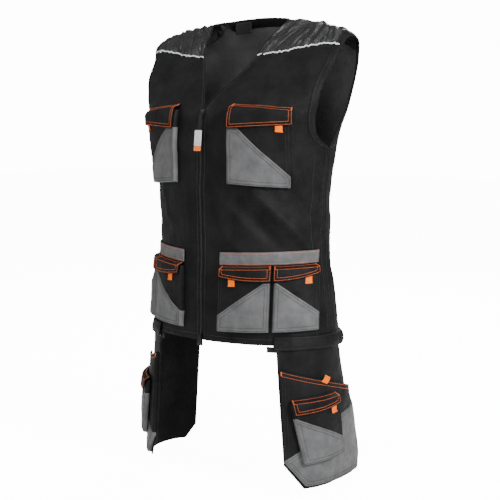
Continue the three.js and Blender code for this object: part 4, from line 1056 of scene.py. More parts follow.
PIPING_RADIUS, YOKE_PITCH = 1.35, 1.815
for name, side in SIDES:
    u, v = np.meshgrid(np.linspace(0, 1, 170), np.linspace(-1, 1, 66))
    turn, down = yoke_place(u, v)
    gathered = pucker(u, v, 11 if side > 0 else 12)
    outer = body_point(side * turn, down, gathered)
    inner = body_point(side * turn, down, np.minimum(gathered, 1) - CLOTH)
    yoke = shell(f"yoke_gathered_{name}", outer, inner)
    cord = tube(f"piping_cord_{name}", piping_line(side), PIPING_RADIUS)
    trim_of(cord, SILVER_PIPING, [f"piping_{name}"])
    yoke_share = measured(yoke_side(side), 100, 100)
    rows = [stitch_row(yoke_share, [(2, 94), (98, 94)], out=0.7, pitch=YOKE_PITCH)]
    seam = sewn_thread(f"yoke_thread_{name}", rows)
    sewn(yoke, YOKE_CLOTH, [f"yoke_{name}"])
    print(yoke.name, [round(x, 3) for x in yoke["flat"]])

# %% [markdown]
# ## Edges
# The neck and the armholes are finished by a facing that lies inside and turns over the cut edge
# as a thin lip. Its section is swept along the edge: each station reads the surface at the edge and
# further in, so the facing follows the cloth.

# %% Neck and armhole facings
# how far in from the edge, and how far out from the body surface
NECK_SECTION = [
    (2.4, 0.35), (1.2, 0.75), (0.0, 0.7), (-0.8, 0.1), (-1.1, -1.0), (-0.8, -2.3), (0.5, -3.0),
    (6.0, -3.1), (16.0, -3.1), (16.0, -2.35), (6.0, -2.3), (0.6, -2.2), (0.2, -1.0), (0.6, 0.1),
    (2.4, 0.05),
]
# the armholes have a wide band outside as well, which covers the ends of the yokes
ARMHOLE_BAND, ARMHOLE_ROW = 17.0, 13.6
ARMHOLE_SECTION = [
    (ARMHOLE_BAND, 0.2), (ARMHOLE_BAND - 0.2, 1.0), (14.6, 1.25), (ARMHOLE_ROW, 0.95), (12.6, 1.25),
    (7.0, 1.35), (1.2, 1.2), (0.0, 0.9), (-0.8, 0.1), (-1.1, -1.0), (-0.8, -2.3), (0.5, -3.0),
    (6.0, -3.1), (16.0, -3.1), (16.0, -2.35), (6.0, -2.3), (0.6, -2.2), (0.2, -1.0), (0.6, 0.1),
    (8.0, 0.15),
]


def sweep(name, stations):
    """A closed solid through rings of points, capped at both ends."""
    rings = np.asarray(stations)
    run, around = run_along(rings[:, 0]), run_along(rings[0])
    uvs = np.stack(np.meshgrid(around, run), axis=2).reshape(-1, 2)
    obj = new_object(name, rings.reshape(-1, 3), ring_faces(*rings.shape[:2]), uvs)
    obj["flat"] = [around[-1] / 2 * MM, run[-1] * MM]
    return face_outwards(obj)


def ring_of(place, arm):
    return np.array([place(inset, out) for inset, out in (ARMHOLE_SECTION if arm else NECK_SECTION)])


YOKE_LENGTH = 172


def front_station(side, row, arm):
    down = panel_down(row, front_top(1.0 if arm else 0.0))
    span = length_at(armhole_turn(down, True), down) - length_at(neck_turn(down), down)

    def place(inset, out):
        turn, down = front_place(1 - inset / span if arm else inset / span, row)
        return body_point(side * turn, down, out)

    return ring_of(place, arm)


def yoke_station(side, over, arm, narrow=1.0):
    def place(inset, out):
        share = (narrow if inset > 0 else 1) * inset / YOKE_LENGTH
        return yoke_side(side)(1 - share if arm else share, over, out)

    return ring_of(place, arm)


def back_neck_station(share):
    return ring_of(lambda inset, out: back_point(share, 2 - inset / 268, out), False)


def back_arm_station(side, row):
    return ring_of(lambda inset, out: back_point(side * (1 - inset / 250), row, out), True)


def armhole_stations(side):
    rows = np.linspace(1, 2, 34)
    stations = [front_station(side, row, True) for row in rows]
    stations += [yoke_station(side, over, True) for over in np.linspace(-0.98, 0.98, 22)]
    stations += [back_arm_station(side, row) for row in rows[::-1]]
    return stations


def neck_half(side):
    """The facing of one side, from the foot of the V to the yoke's back seam, where it narrows."""
    neck_row = 1 + (ARMPIT - NECK_DROP) / (ARMPIT - float(front_top(0.0)))
    stations = [front_station(side, row, False) for row in np.linspace(neck_row, 2, 46)]
    for over in np.linspace(-0.98, 0.98, 20):
        stations.append(yoke_station(side, over, False, lerp(1.0, 0.25, max(0.0, over) ** 3)))
    return stations


shares = np.linspace(YOKE_BACK_START, -YOKE_BACK_START, 34)
behind_neck = [back_neck_station(share) for share in shares]
neck = sweep("neck_edge", neck_half(1) + behind_neck + neck_half(-1)[::-1])
sewn(neck, EDGE_TWILL, ["neck_facing"])
for name, side in SIDES:
    edge = sweep(f"armhole_edge_{name}", armhole_stations(side))
    front = measured(front_point(side), 240, ROW_UNIT, from_far_edge=True)
    behind = measured(back_side(side), 250, ROW_UNIT, from_far_edge=True)
    over_yoke = measured(yoke_side(side), YOKE_LENGTH, 50, from_far_edge=True)
    upright = [(ARMHOLE_ROW, 304), (ARMHOLE_ROW, 594)]
    rows = [
        stitch_row(front, upright, out=1.35),
        stitch_row(behind, upright, out=1.2),
        stitch_row(over_yoke, [(ARMHOLE_ROW, -48), (ARMHOLE_ROW, 48)], out=1.2),
    ]
    seam = sewn_thread(f"armhole_thread_{name}", rows)
    sewn(edge, BLACK_TWILL, [f"armhole_facing_{name}"])
print("facings swept:", [round(x, 3) for x in neck["flat"]])

# %% [markdown]
# The label is a bare woven piece that hangs inside the back neck. Nothing is written on it.

# %% Neck label
LABEL_WIDTH, LABEL_HEIGHT, LABEL_SHIFT = 36, 24, -50
PER_SHARE = 0.82 * NECK_HALF_WIDTH / YOKE_BACK_START


def label_place(u, v, out):
    share = (-LABEL_SHIFT + (u - 0.5) * LABEL_WIDTH) / PER_SHARE
    points = back_point(-share, np.full(np.shape(share), 2.0), out - 4.4 + 0.4 * np.sin(3 * v + 4 * u))
    points[..., 2] -= 0.5 + (1 - v) * LABEL_HEIGHT
    return points


outer, inner = grids(label_place, np.linspace(0, 1, 19), np.linspace(0, 1, 13), -1.2, 0)
label = shell("neck_label_bare", outer, inner)
label_outline = [(2, 2), (2, 22), (34, 22), (34, 2), (2, 2)]
rows = [stitch_row(measured(label_place, LABEL_WIDTH, LABEL_HEIGHT), label_outline, out=-1.35)]
seam = sewn_thread("label_thread", rows, radius=0.3)
sewn(label, EDGE_TWILL, ["neck_label"])
print("label", LABEL_WIDTH, "x", LABEL_HEIGHT, "mm")

# %% [markdown]
# ## Pockets
# A pocket is a front wall with folded gussets, sewn down on three sides and open at the top. Its
# height over the cloth rises steeply from the edges and is rounded over, so one grid makes the
# wall and the gussets. The grey reinforcement is the same shape made a touch larger.

# %% The parts of a pocket
FLAP_STAND = 3 * GAP + TRIM + CHORD
TAB_WIDTH, TAB_HEIGHT, TAB_TUCK = 12.5, 13, 9
GUSSET = 3.6
WALL_SHRINK, PATCH_OVER, PATCH_CLEAR = 1.3, 0.7, 0.08
MOUTH_LEAN, MOUTH_SHARE = 0.2, 0.21
FLAP_ROWS, PATCH_ROWS = (1.7, 6.9), (3.4, 9.0)


def on_pocket(pocket, a, b, out):
    """A place across the pocket and down from its mouth, at a height over the cloth."""
    across = pocket["across"] + a + pocket.get("lean", 0) * b
    return pocket["frame"](across, pocket["top"] + pocket["tilt"] * a + b, out)


def rounded(distance, reach):
    """0 at an edge, rising steeply and rounding over to 1."""
    t = np.clip(distance / reach, 0, 1)
    return (1 - (1 - t) ** 2.4) ** (1 / 2.4)


def pocket_out(pocket, a, b):
    """How far the face of a pocket stands off the cloth that it is sewn to."""
    width, height = pocket["width"], pocket["height"]
    up = 1 - b / height
    lean = 1 - MOUTH_LEAN * np.clip((up - 1 + MOUTH_SHARE) / MOUTH_SHARE, 0, 1)
    walls = rounded(a, GUSSET) * rounded(width - a, GUSSET) * rounded(height - b, GUSSET)
    soft = np.sin(np.pi * np.clip(a / width, 0, 1)) * np.sin(np.pi * np.clip(0.12 + 0.8 * up, 0, 1))
    creases = crumple(a, b, 0 * a, pocket["seed"], 48) * pocket.get("crease", 0.5)
    return GAP + CHORD + (pocket["depth"] * lean + 1.4 * soft + creases * soft**0.5) * walls


def edge_steps(length, step, both=True):
    """Places along a side, close together near the edges that are folded."""
    close = np.array([0, 0.12, 0.35, 0.7, 1.2, 1.9, 2.8, 3.8, 5.2])
    if both:
        middle = np.linspace(7.2, length - 7.2, max(3, int((length - 14) / step)))
        return np.concatenate([close, middle, length - close[::-1]])
    middle = np.linspace(0, length - 7.2, max(3, int(length / step)))
    return np.concatenate([middle, length - close[::-1]])


def pocket_wall(pocket, name):
    width, height = pocket["width"], pocket["height"]
    a, b = np.meshgrid(edge_steps(width, 3.2), edge_steps(height, 3.4, both=False))
    outer = on_pocket(pocket, a, b, pocket_out(pocket, a, b))
    a_in = WALL_SHRINK + a * (width - 2 * WALL_SHRINK) / width
    b_in = b * (height - WALL_SHRINK) / height
    low = np.maximum(pocket_out(pocket, a, b) - WALL_SHRINK, GAP + CHORD)
    inner = on_pocket(pocket, a_in, b_in, low)
    return shell(name, outer, inner)


def table_value(table, at):
    table = np.asarray(table, float)
    return np.interp(at, table[:, 0], table[:, 1])


def pocket_patch(pocket, name):
    """The grey patch, cut along a line and wrapped round the gussets."""
    width, height = pocket["width"], pocket["height"]
    a = np.unique(np.concatenate([edge_steps(width, 3.2), np.asarray(pocket["patch"])[:, 0] * width]))
    v = np.concatenate([np.linspace(0, 0.9, 26), np.linspace(0.9, 1, 14)[1:]])
    a, v = np.meshgrid(a, v)
    top = table_value(pocket["patch"], a / width) * height
    b = lerp(top, height, v)
    grown = lerp(-PATCH_OVER, width + PATCH_OVER, a / width)
    face = pocket_out(pocket, a, b)
    outer = on_pocket(pocket, grown, b + PATCH_OVER * v**6, np.maximum(face + PATCH_OVER, 1.0))
    inner = on_pocket(pocket, lerp(-0.1, width + 0.1, a / width), b, face + PATCH_CLEAR)
    return shell(name, outer, inner, rim=0.3)


def patch_outline(pocket):
    width, height = pocket["width"], pocket["height"]
    top = [(at * width, down * height) for at, down in pocket["patch"]]
    return top + [(width, height), (0, height)]


def flap_width(pocket):
    return pocket["flap"]["to"] - pocket["flap"]["from"]


def flap_low(pocket, u):
    flap = pocket["flap"]
    return lerp(flap["fall"], flap["outer_fall"], u) + flap["bow"] * np.sin(np.pi * u)


def flap_place(pocket):
    """Across from the flap's edge and down from the pocket's mouth, on the flap."""
    above = pocket["flap"]["above"]
    wide = flap_width(pocket)

    def place(a, past, out):
        over = np.clip((past + above) / above, 0, 1)
        lean = MOUTH_LEAN * np.clip(1 - past / pocket["height"] / MOUTH_SHARE, 0, 1)
        face = GAP + CHORD + pocket["depth"] * (1 - lean)
        curl = 0.9 * np.sin(3.1 * a / wide + pocket["seed"]) * np.clip(past / 20, 0, 1)
        lift = lerp(GAP + CHORD, face + FLAP_STAND + curl, smooth_step(over))
        return on_pocket(pocket, a + pocket["flap"]["from"], past, lift + out)

    return place


def flap_outline(pocket):
    wide, above = flap_width(pocket), pocket["flap"]["above"]
    shares = np.linspace(1, 0, 13)
    lower = [(share * wide, float(flap_low(pocket, share))) for share in shares]
    return [(0, -above), (wide, -above)] + lower


def quilted(a, past, pocket):
    """The flap is two layers, so it is full between its stitch rows and pressed down along them."""
    wide, above = flap_width(pocket), pocket["flap"]["above"]
    to_ends = np.minimum(past + above, flap_low(pocket, a / wide) - past)
    edge = np.minimum(np.minimum(a, wide - a), to_ends)
    pressed = sum(groove(edge - row, 1.1, 0.5) for row in FLAP_ROWS)
    return pressed + 0.5 * np.clip(edge / 12, 0, 1)


def pocket_flap(pocket, name):
    place = flap_place(pocket)
    wide, above = flap_width(pocket), pocket["flap"]["above"]
    a, v = np.meshgrid(np.linspace(0, wide, int(wide / 2.0)), np.linspace(0, 1, 26))
    past = lerp(flap_low(pocket, a / wide), -above, v)
    outer = place(a, past, CLOTH + quilted(a, past, pocket))
    return shell(name, outer, place(a, past, 0 * a), rim=0.5)


def pocket_tab(pocket, name):
    """A folded piece of webbing that is held under the flap."""
    at = pocket["tab"]
    low = float(flap_low(pocket, at))
    centre = at * pocket["width"]

    def place(u, v, out):
        past = lerp(low + TAB_HEIGHT, low - TAB_TUCK, v)
        a = centre + (u - 0.5) * TAB_WIDTH
        bulge = 0.9 * np.sin(np.pi * np.clip(1.2 * (1 - v), 0, 1))
        stand = pocket_out(pocket, a, past) + GAP + CHORD / 2 + bulge
        return on_pocket(pocket, a, past, stand + out)

    u, v = np.meshgrid(np.linspace(0, 1, 15), np.linspace(0, 1, 20))
    ribs = 0.12 * np.cos(u * 14 * np.pi)
    fold = 1.0 + 1.2 * (v < 0.06)
    return shell(name, place(u, v, TRIM * fold * 0.9 + ribs), place(u, v, 0 * u), rim=0.5)


# %% [markdown]
# Each flap is sewn with two rows of orange thread and locked with bartacks at its upper corners.
# The patches are sewn with two rows of dark thread that keep to their outline.

# %% Sewing a pocket together
def closed_rows(place, outline, insets, out):
    """Stitch rows that keep to an outline, each at its own distance inside it."""
    lines = [inset_polygon(outline, inset) for inset in insets]
    return [stitch_row(place, [*line, line[0]], out=out) for line in lines]


def flap_threads(pocket, name):
    place = flap_place(pocket)
    wide, above = flap_width(pocket), pocket["flap"]["above"]
    near, far = FLAP_ROWS[1], -above + FLAP_ROWS[1]
    rows = closed_rows(place, flap_outline(pocket), FLAP_ROWS, CLOTH + 0.05)
    rows.append(stitch_row(place, [(0.8, far), (near, far)], out=CLOTH + 0.05))
    rows.append(stitch_row(place, [(wide - near, far), (wide - 0.8, far)], out=CLOTH + 0.05))
    for a in (2.2, wide - 2.2):
        rows += bartack(place, (a, -above + 4.2), (0, 1), out=CLOTH + 0.25, long=7)
    return sewn_thread(name, rows, ORANGE_THREAD, radius=0.45)


def patch_threads(pocket, name):
    def place(a, b, out):
        return on_pocket(pocket, a, b, pocket_out(pocket, a, b) + out)

    height, width = pocket["height"], pocket["width"]
    rows = closed_rows(place, patch_outline(pocket), PATCH_ROWS, 0.85)
    for inset in PATCH_ROWS:
        for at, end in ((inset, pocket["patch"][0]), (width - inset, pocket["patch"][-1])):
            rows.append(stitch_row(place, [(at, 8), (at, end[1] * height)], out=0.15))
    return sewn_thread(name, rows, DARK_THREAD, radius=0.55)


def make_pocket(stem, name, pocket, rests_on):
    wall = pocket_wall(pocket, f"{stem}_pocket_wall_{name}")
    patch = pocket_patch(pocket, f"{stem}_patch_sewn_{name}")
    flap = pocket_flap(pocket, f"{stem}_flap_sewn_{name}")
    tab = pocket_tab(pocket, f"{stem}_tab_webbing_{name}")
    dark = patch_threads(pocket, f"{stem}_patch_thread_{name}")
    bright = flap_threads(pocket, f"{stem}_flap_thread_{name}")
    sewn(wall, BLACK_TWILL, [f"{stem}_pocket_{name}"])
    sewn(patch, GREY_CLOTH, [f"{stem}_patch_{name}"])
    sewn(tab, WEBBING, [f"{stem}_tab_{name}"])
    sewn(flap, BLACK_TWILL, [f"{stem}_flap_{name}"])


# %% [markdown]
# The chest pockets have one flap each. Below them a grey band with orange edges runs over an inner
# and an outer pocket, whose flaps meet in the middle.

# %% Chest pockets and the lower bank
CHEST_PATCH = [(0, 0.23), (0.2, 0.23), (1, 0.85)]
INNER_PATCH = [(0, 0.75), (0.88, 0.22), (1, 0.22)]
OUTER_PATCH = [(0, 0.22), (0.06, 0.22), (1, 0.73)]
HOLSTER_PATCH = [(0, 0.24), (0.06, 0.24), (1, 0.72)]
FOOT_PATCH = [(0, 0.8), (0.1, 0.75), (0.59, 0.525), (1, 0.48)]
BANK_ACROSS, BANK_TOP, BANK_TILT = 47, 473, -0.03
BANK_BAND_HEIGHT, BANK_POCKET_DROP = 25, 34
INNER_WIDTH, OUTER_WIDTH, BANK_SPACE = 107, 93, 8
BANK_WIDTH = INNER_WIDTH + BANK_SPACE + OUTER_WIDTH

for number, (name, side) in enumerate(SIDES):
    body_frame, cloth = on_body(side), f"front_cloth_{name}"
    make_pocket("chest", name, {
        "frame": body_frame, "across": 67, "width": 126, "top": 188, "height": 145, "depth": 10,
        "tilt": 0.06, "patch": CHEST_PATCH, "tab": 0.83, "seed": 21 + number,
        "flap": {"above": 14, "fall": 35, "outer_fall": 17.5, "bow": 0, "from": 3, "to": 129},
    }, cloth)
    bank = {"frame": body_frame, "height": 126, "depth": 11, "tilt": BANK_TILT, "crease": 1.0}
    make_pocket("inner", name, {
        **bank, "across": BANK_ACROSS, "width": INNER_WIDTH, "top": BANK_TOP + BANK_POCKET_DROP,
        "patch": INNER_PATCH, "tab": 0.3, "seed": 31 + number,
        "flap": {"above": 7, "fall": 14.4, "outer_fall": 24, "bow": 3, "from": 4, "to": 108},
    }, cloth)
    outer_start = INNER_WIDTH + BANK_SPACE
    make_pocket("outer", name, {
        **bank, "across": BANK_ACROSS + outer_start, "width": OUTER_WIDTH,
        "top": BANK_TOP + BANK_POCKET_DROP + BANK_TILT * outer_start,
        "patch": OUTER_PATCH, "tab": 0.7, "seed": 41 + number,
        "flap": {"above": 7, "fall": 24, "outer_fall": 12, "bow": 3, "from": -2, "to": 89},
    }, cloth)

    def band_place(a, b, out, body_frame=body_frame):
        return body_frame(BANK_ACROSS + a, BANK_TOP + BANK_TILT * a + b, GAP + 3 * CHORD + out)

    a, b = np.meshgrid(np.linspace(0, BANK_WIDTH, 120), np.linspace(0, BANK_BAND_HEIGHT, 16))
    creases = 0.35 * crumple(a, 2 * b, 0 * a, 51 + number, 40)
    full = 0.5 * np.sin(np.pi * b / BANK_BAND_HEIGHT) + creases
    outer, inner = band_place(a, b, CLOTH + full), band_place(a, b, 0 * a)
    band = shell(f"bank_band_sewn_{name}", outer, inner, rim=0.5)
    rows = [
        stitch_row(band_place, [(1.5, low), (BANK_WIDTH - 1.5, low)], out=CLOTH + 0.4)
        for low in (2.2, BANK_BAND_HEIGHT - 2.2)
    ]
    rows += bartack(band_place, (BANK_WIDTH - 2, 3), (0, 1), out=CLOTH + 0.3, long=4)
    bright = sewn_thread(f"bank_band_thread_{name}", rows, ORANGE_THREAD, radius=0.42)
    rows = [
        stitch_row(band_place, [(at, 1.5), (at, BANK_BAND_HEIGHT - 1.5)], out=CLOTH + 0.15)
        for at in (3, BANK_WIDTH - 3)
    ]
    dark = sewn_thread(f"bank_band_end_thread_{name}", rows, DARK_THREAD, radius=0.4)
    sewn(band, GREY_CLOTH, [f"bank_band_{name}"])
print("pockets sewn on the fronts")

# %% [markdown]
# ## The holster panels
# A panel hangs from each side of the hem. Its surface swings from the hem's oval to a wider one at
# its foot. A pouch as wide as the panel lies on it, its mouth cut on a slant, then a grey foot, and
# a small pocket leans on top.

# %% Holster surfaces
HOLSTER_WIDTH = 236
FRONT_CUT_ACROSS, FRONT_CUT_UP = 40, 48
BACK_CUT_ACROSS, BACK_CUT_UP = 22, 32
POUCH_DEPTH, POUCH_TOP_DOWN, POUCH_TOP_SLANT, LAYER_STEP = 9, 50, 66, 6
# half width, front depth, back depth and power of the oval, at the hem and at a panel's foot
HEM_HALF = float(np.interp(BODY_LENGTH, LEVELS, HALVES))
HEM_SECTION = (HEM_HALF, 0.974 * FRONT_DEPTH, 0.885 * BACK_DEPTH, 2.1)
HOLSTERS = [
    {"name": "left", "side": 1, "start": 178, "drift": 14, "foot": (236, 150, 184, 2.9)},
    {"name": "right", "side": -1, "start": 146, "drift": 8, "foot": (236, 152, 120, 2.2)},
]


def holster_surface(holster):
    """Across from the panel's front edge and down from the hem."""
    across = np.arange(-40, HOLSTER_WIDTH + 42, 2.0)
    downs = np.arange(-12, HOLSTER_LENGTH + 14, 2.0)
    t = downs / HOLSTER_LENGTH
    half, front, back, power = (lerp(a, b, t) for a, b in zip(HEM_SECTION, holster["foot"]))
    x, y, lengths = ovals(half, front, back, 0 * t, power)
    points = np.zeros((len(downs), len(across), 3))
    for row, down in enumerate(downs):
        length = holster["start"] + holster["drift"] * down / HOLSTER_LENGTH + across
        points[row, :, 0] = holster["side"] * np.interp(length, lengths[row], x[row])
        points[row, :, 1] = np.interp(length, lengths[row], y[row])
        points[row, :, 2] = -BODY_LENGTH - down
    return Surface(across, downs, points, outwards=holster["side"])


def on_holster(holster):
    surface = holster_surface(holster)
    seed = 61 if holster["side"] > 0 else 62

    def place(across, down, out):
        lean = lerp(-7, 6, np.clip(down / HOLSTER_LENGTH, 0, 1))
        across = across + lean * np.clip(1 - across / 120, 0, 1)
        dents = 1.8 * crumple(across, 0.6 * down, 0 * across, seed, 150)
        dents = dents + 0.5 * crumple(across, down, 0 * across, seed + 5, 42)
        return surface.at(across, down, out + smooth_step(down / 70) * dents)

    return place


def holster_bottom(across):
    front_cut = np.clip(1 - across / FRONT_CUT_ACROSS, 0, None) * FRONT_CUT_UP
    back_cut = np.clip(1 - (HOLSTER_WIDTH - across) / BACK_CUT_ACROSS, 0, None) * BACK_CUT_UP
    return HOLSTER_LENGTH - front_cut - back_cut


# %% [markdown]
# The pouch follows the slanted mouth and the cut corners of the panel, so its places are shares
# between the mouth and the foot rather than a plain rectangle.

# %% Holster panels and pouches
POUCH_LEFT, POUCH_RIGHT = LAYER_STEP / 2, HOLSTER_WIDTH - 1
LOOP_SLANT = math.radians(33)
CUT_CORNERS = [FRONT_CUT_ACROSS, HOLSTER_WIDTH - BACK_CUT_ACROSS]
FOOT_BENDS = [at * HOLSTER_WIDTH for at, _ in FOOT_PATCH[1:-1]]


def pouch_share(across):
    return (across - POUCH_LEFT) / (POUCH_RIGHT - POUCH_LEFT)


def pouch_mouth(across):
    return POUCH_TOP_DOWN + POUCH_TOP_SLANT * pouch_share(across)


def pouch_foot(across):
    return holster_bottom(pouch_share(across) * HOLSTER_WIDTH) - LAYER_STEP


def foot_top(across):
    return table_value(FOOT_PATCH, across / HOLSTER_WIDTH) * HOLSTER_LENGTH


def pouch_out(across, down, seed):
    """How far the face of a pouch stands off its panel."""
    walls = rounded(across - POUCH_LEFT, GUSSET) * rounded(POUCH_RIGHT - across, GUSSET)
    walls = walls * rounded(pouch_foot(across) - down, GUSSET)
    near_mouth = np.clip((down - pouch_mouth(across)) / 40, 0, 1)
    dents = 0.6 * crumple(across, down, 0 * across, seed, 60)
    return GAP + CHORD + (POUCH_DEPTH * lerp(0.8, 1, near_mouth) + dents) * walls


def pouch_grid(top, steps, close, length, corners=()):
    """Places on a pouch: columns at its cut corners, and rows that close up towards its foot."""
    columns = np.unique(np.concatenate([edge_steps(HOLSTER_WIDTH, 3.4), CUT_CORNERS]))
    columns = lerp(POUCH_LEFT, POUCH_RIGHT, columns / HOLSTER_WIDTH)
    u = np.unique(np.concatenate([columns, corners]))
    v = np.unique(np.concatenate([np.linspace(0, 0.95, steps), 1 - np.array(close) / length]))
    u, v = np.meshgrid(u, v)
    return u, v, lerp(top(u), pouch_foot(u), v)


def holster_panel(name, place):
    across = np.unique(np.concatenate([np.linspace(0, HOLSTER_WIDTH, 76), CUT_CORNERS]))
    u, v = np.meshgrid(across, np.linspace(0, 1, 92))
    down = lerp(0.6, holster_bottom(u), v)
    edge = np.minimum(np.minimum(u, HOLSTER_WIDTH - u), holster_bottom(u) - down)
    outer = place(u, down, 0.35 * np.exp(-((edge / 3) ** 2)) + groove(edge - 5, 1.2, 0.4))
    panel = shell(f"holster_cloth_{name}", outer, place(u, down, 0 * u - CLOTH))
    outline = [(0, 14), (HOLSTER_WIDTH, 14), (HOLSTER_WIDTH, HOLSTER_LENGTH - BACK_CUT_UP)]
    outline += [(HOLSTER_WIDTH - BACK_CUT_ACROSS, HOLSTER_LENGTH), (FRONT_CUT_ACROSS, HOLSTER_LENGTH)]
    outline.append((0, HOLSTER_LENGTH - FRONT_CUT_UP))
    line = inset_polygon(outline, 2.2)
    dark = sewn_thread(f"holster_thread_{name}", [stitch_row(place, [*line[1:], line[0]], out=0.3)])
    sewn(panel, BLACK_TWILL, [f"holster_panel_{name}"])
    return panel


def pouch_wall(name, place, face, seed):
    close = [3.4, 2.2, 1.4, 0.8, 0.4, 0.15, 0]
    u, v, down = pouch_grid(pouch_mouth, 58, close, 240)
    u_in = lerp(POUCH_LEFT + WALL_SHRINK, POUCH_RIGHT - WALL_SHRINK, pouch_share(u))
    low = np.maximum(pouch_out(u, down, seed) - WALL_SHRINK, GAP + CHORD)
    inner = place(u_in, down - WALL_SHRINK * v, low)
    pouch = shell(f"pouch_wall_{name}", face(u, down, 0), inner)
    ends = [(a, float(pouch_mouth(a))) for a in (POUCH_LEFT + 1, POUCH_RIGHT - 1)]
    rows = [stitch_row(face, [(a, down + row) for a, down in ends], out=0.15) for row in (2.2, 9.5)]
    for (a, down), inwards in zip(ends, (2, -2)):
        rows += bartack(face, (a + inwards, down + 6), (0, 1), out=0.35)
    bright = sewn_thread(f"pouch_thread_{name}", rows, ORANGE_THREAD, radius=0.45)
    sewn(pouch, BLACK_TWILL, [f"pouch_{name}"])
    return pouch


print("panels", HOLSTER_WIDTH, "mm wide, pouches", POUCH_DEPTH, "mm deep")

# %% [markdown]
# A grey foot wraps the pouch's lower edge and is sewn with dark thread. A short loop of webbing
# stands on the mouth, and the small pocket is made like those on the fronts.

# %% Feet, loops and small pockets
def foot_patch(name, place, face, seed):
    close = [5, 3.4, 2.2, 1.4, 0.8, 0.4, 0.15, 0]
    u, v, down = pouch_grid(foot_top, 40, close, 120, FOOT_BENDS)
    wide = lerp(POUCH_LEFT - PATCH_OVER, POUCH_RIGHT + PATCH_OVER, pouch_share(u))
    stand = np.maximum(pouch_out(u, down, seed) + PATCH_OVER, 1.0)
    outer = place(wide, down + PATCH_OVER * v**6, stand)
    foot = shell(f"foot_patch_sewn_{name}", outer, face(u, down, PATCH_CLEAR), rim=0.3)
    outline = [(a, foot_top(a)) for a in (POUCH_LEFT, *FOOT_BENDS, POUCH_RIGHT)]
    low = (POUCH_RIGHT, CUT_CORNERS[1], CUT_CORNERS[0] + 2, POUCH_LEFT)
    outline += [(a, float(pouch_foot(a))) for a in low]
    rows = closed_rows(face, outline, PATCH_ROWS, 0.85)
    for a in (POUCH_LEFT + inset for inset in PATCH_ROWS):
        rows.append(stitch_row(face, [(a, float(pouch_mouth(a)) + 14), (a, outline[0][1])], out=0.15))
    dark = sewn_thread(f"foot_thread_{name}", rows, DARK_THREAD, radius=0.55)
    sewn(foot, GREY_CLOTH, [f"foot_patch_{name}"])


def pouch_loop(name, place):
    """A short loop of webbing that stands slanted on the pouch's top seam."""
    across, half = 0.4 * HOLSTER_WIDTH, 8.4
    a, b = np.meshgrid(np.linspace(-7, 7, 15), np.linspace(-half, half, 20))
    stand = 2 * GAP + CHORD + 0.86 * POUCH_DEPTH + 1.6 * np.cos(b / half * np.pi / 2)
    u = across + a * math.cos(LOOP_SLANT) - b * math.sin(LOOP_SLANT)
    v = float(pouch_mouth(across)) - 3 + (a * math.sin(LOOP_SLANT) + b * math.cos(LOOP_SLANT)) * 0.85
    ribs = 0.12 * np.cos(a * 2 * np.pi)
    outer, inner = place(u, v, stand + TRIM + ribs), place(u, v, stand)
    loop = shell(f"pouch_loop_webbing_{name}", outer, inner, rim=0.5)
    sewn(loop, WEBBING, [f"pouch_loop_{name}"])


def make_holster(holster):
    name, place = holster["name"], on_holster(holster)
    seed = 70 if holster["side"] > 0 else 75

    def face(a, b, out):
        return place(a, b, pouch_out(a, b, seed) + out)

    panel = holster_panel(name, place)
    pouch = pouch_wall(name, place, face, seed)
    foot_patch(name, place, face, seed)
    pouch_loop(name, place)
    base = 2 * GAP + CHORD + POUCH_DEPTH + TRIM
    make_pocket("holster", name, {
        "frame": lambda a, b, out: place(a, b, base + out), "across": 18, "width": 102, "top": 116,
        "height": 122, "depth": 9, "tilt": -0.08, "lean": 0.16, "patch": HOLSTER_PATCH, "tab": 0.78,
        "seed": seed + 2, "crease": 0.9,
        "flap": {"above": 8, "fall": 22, "outer_fall": 13.2, "bow": 2, "from": 4, "to": 99},
    }, pouch.name)


for holster in HOLSTERS:
    make_holster(holster)
    print("holster", holster["name"], "hangs from", holster["start"], "mm round the hem")

# %% [markdown]
# A band at the hem covers the zip that joins a holster to the vest. It is drawn in by elastic at
# the side, so it is full of short gathers there.

# %% Hem bands
HEM_FLAP_BEFORE, HEM_FLAP_HEIGHT, HEM_FLAP_BELOW, HEM_FLAP_PUFF = 12, 26, 9, 3
for holster in HOLSTERS:
    name, body_frame = holster["name"], on_body(holster["side"])
    start, end = holster["start"] - HEM_FLAP_BEFORE, holster["start"] + HOLSTER_WIDTH
    top = BODY_LENGTH + HEM_FLAP_BELOW - HEM_FLAP_HEIGHT

    def band_place(a, b, out, body_frame=body_frame, start=start, top=top):
        puff = HEM_FLAP_PUFF * b / HEM_FLAP_HEIGHT
        near_side = np.exp(-(((a - 205) / 55) ** 2))
        between = np.sin(np.pi * np.clip(b / HEM_FLAP_HEIGHT, 0, 1))
        gathers = near_side * between * (2.2 + 1.9 * np.sin(a / 2.3 + 0.8 * np.sin(b / 6)))
        return body_frame(start + a, top + b, GAP + CHORD + puff + out + gathers)

    a, b = np.meshgrid(np.linspace(0, end - start, 150), np.linspace(0, HEM_FLAP_HEIGHT, 20))
    outer = band_place(a, b, CLOTH + 0.7 * np.sin(np.pi * b / HEM_FLAP_HEIGHT))
    band = shell(f"hem_band_{name}", outer, band_place(a, b, 0 * a), rim=0.5)
    rows = [
        stitch_row(band_place, [(1.5, low), (end - start - 1.5, low)], out=CLOTH + 0.15)
        for low in (1.8, HEM_FLAP_HEIGHT - 2.4)
    ]
    dark = sewn_thread(f"hem_band_thread_{name}", rows)
    sewn(band, BLACK_TWILL, [f"hem_flap_{name}"])
print("hem bands", HEM_FLAP_HEIGHT, "mm high")

# %% [markdown]
# ## The front zip
# A moulded zip: two woven tapes behind the fronts and a row of teeth in the slit. One tooth is
# modelled from a cube, and its shape is then set along both tapes, half a step apart.

# %% Zip tapes
def on_zip(across, down, out):
    return body_point(turn_at(across, down), down, out)


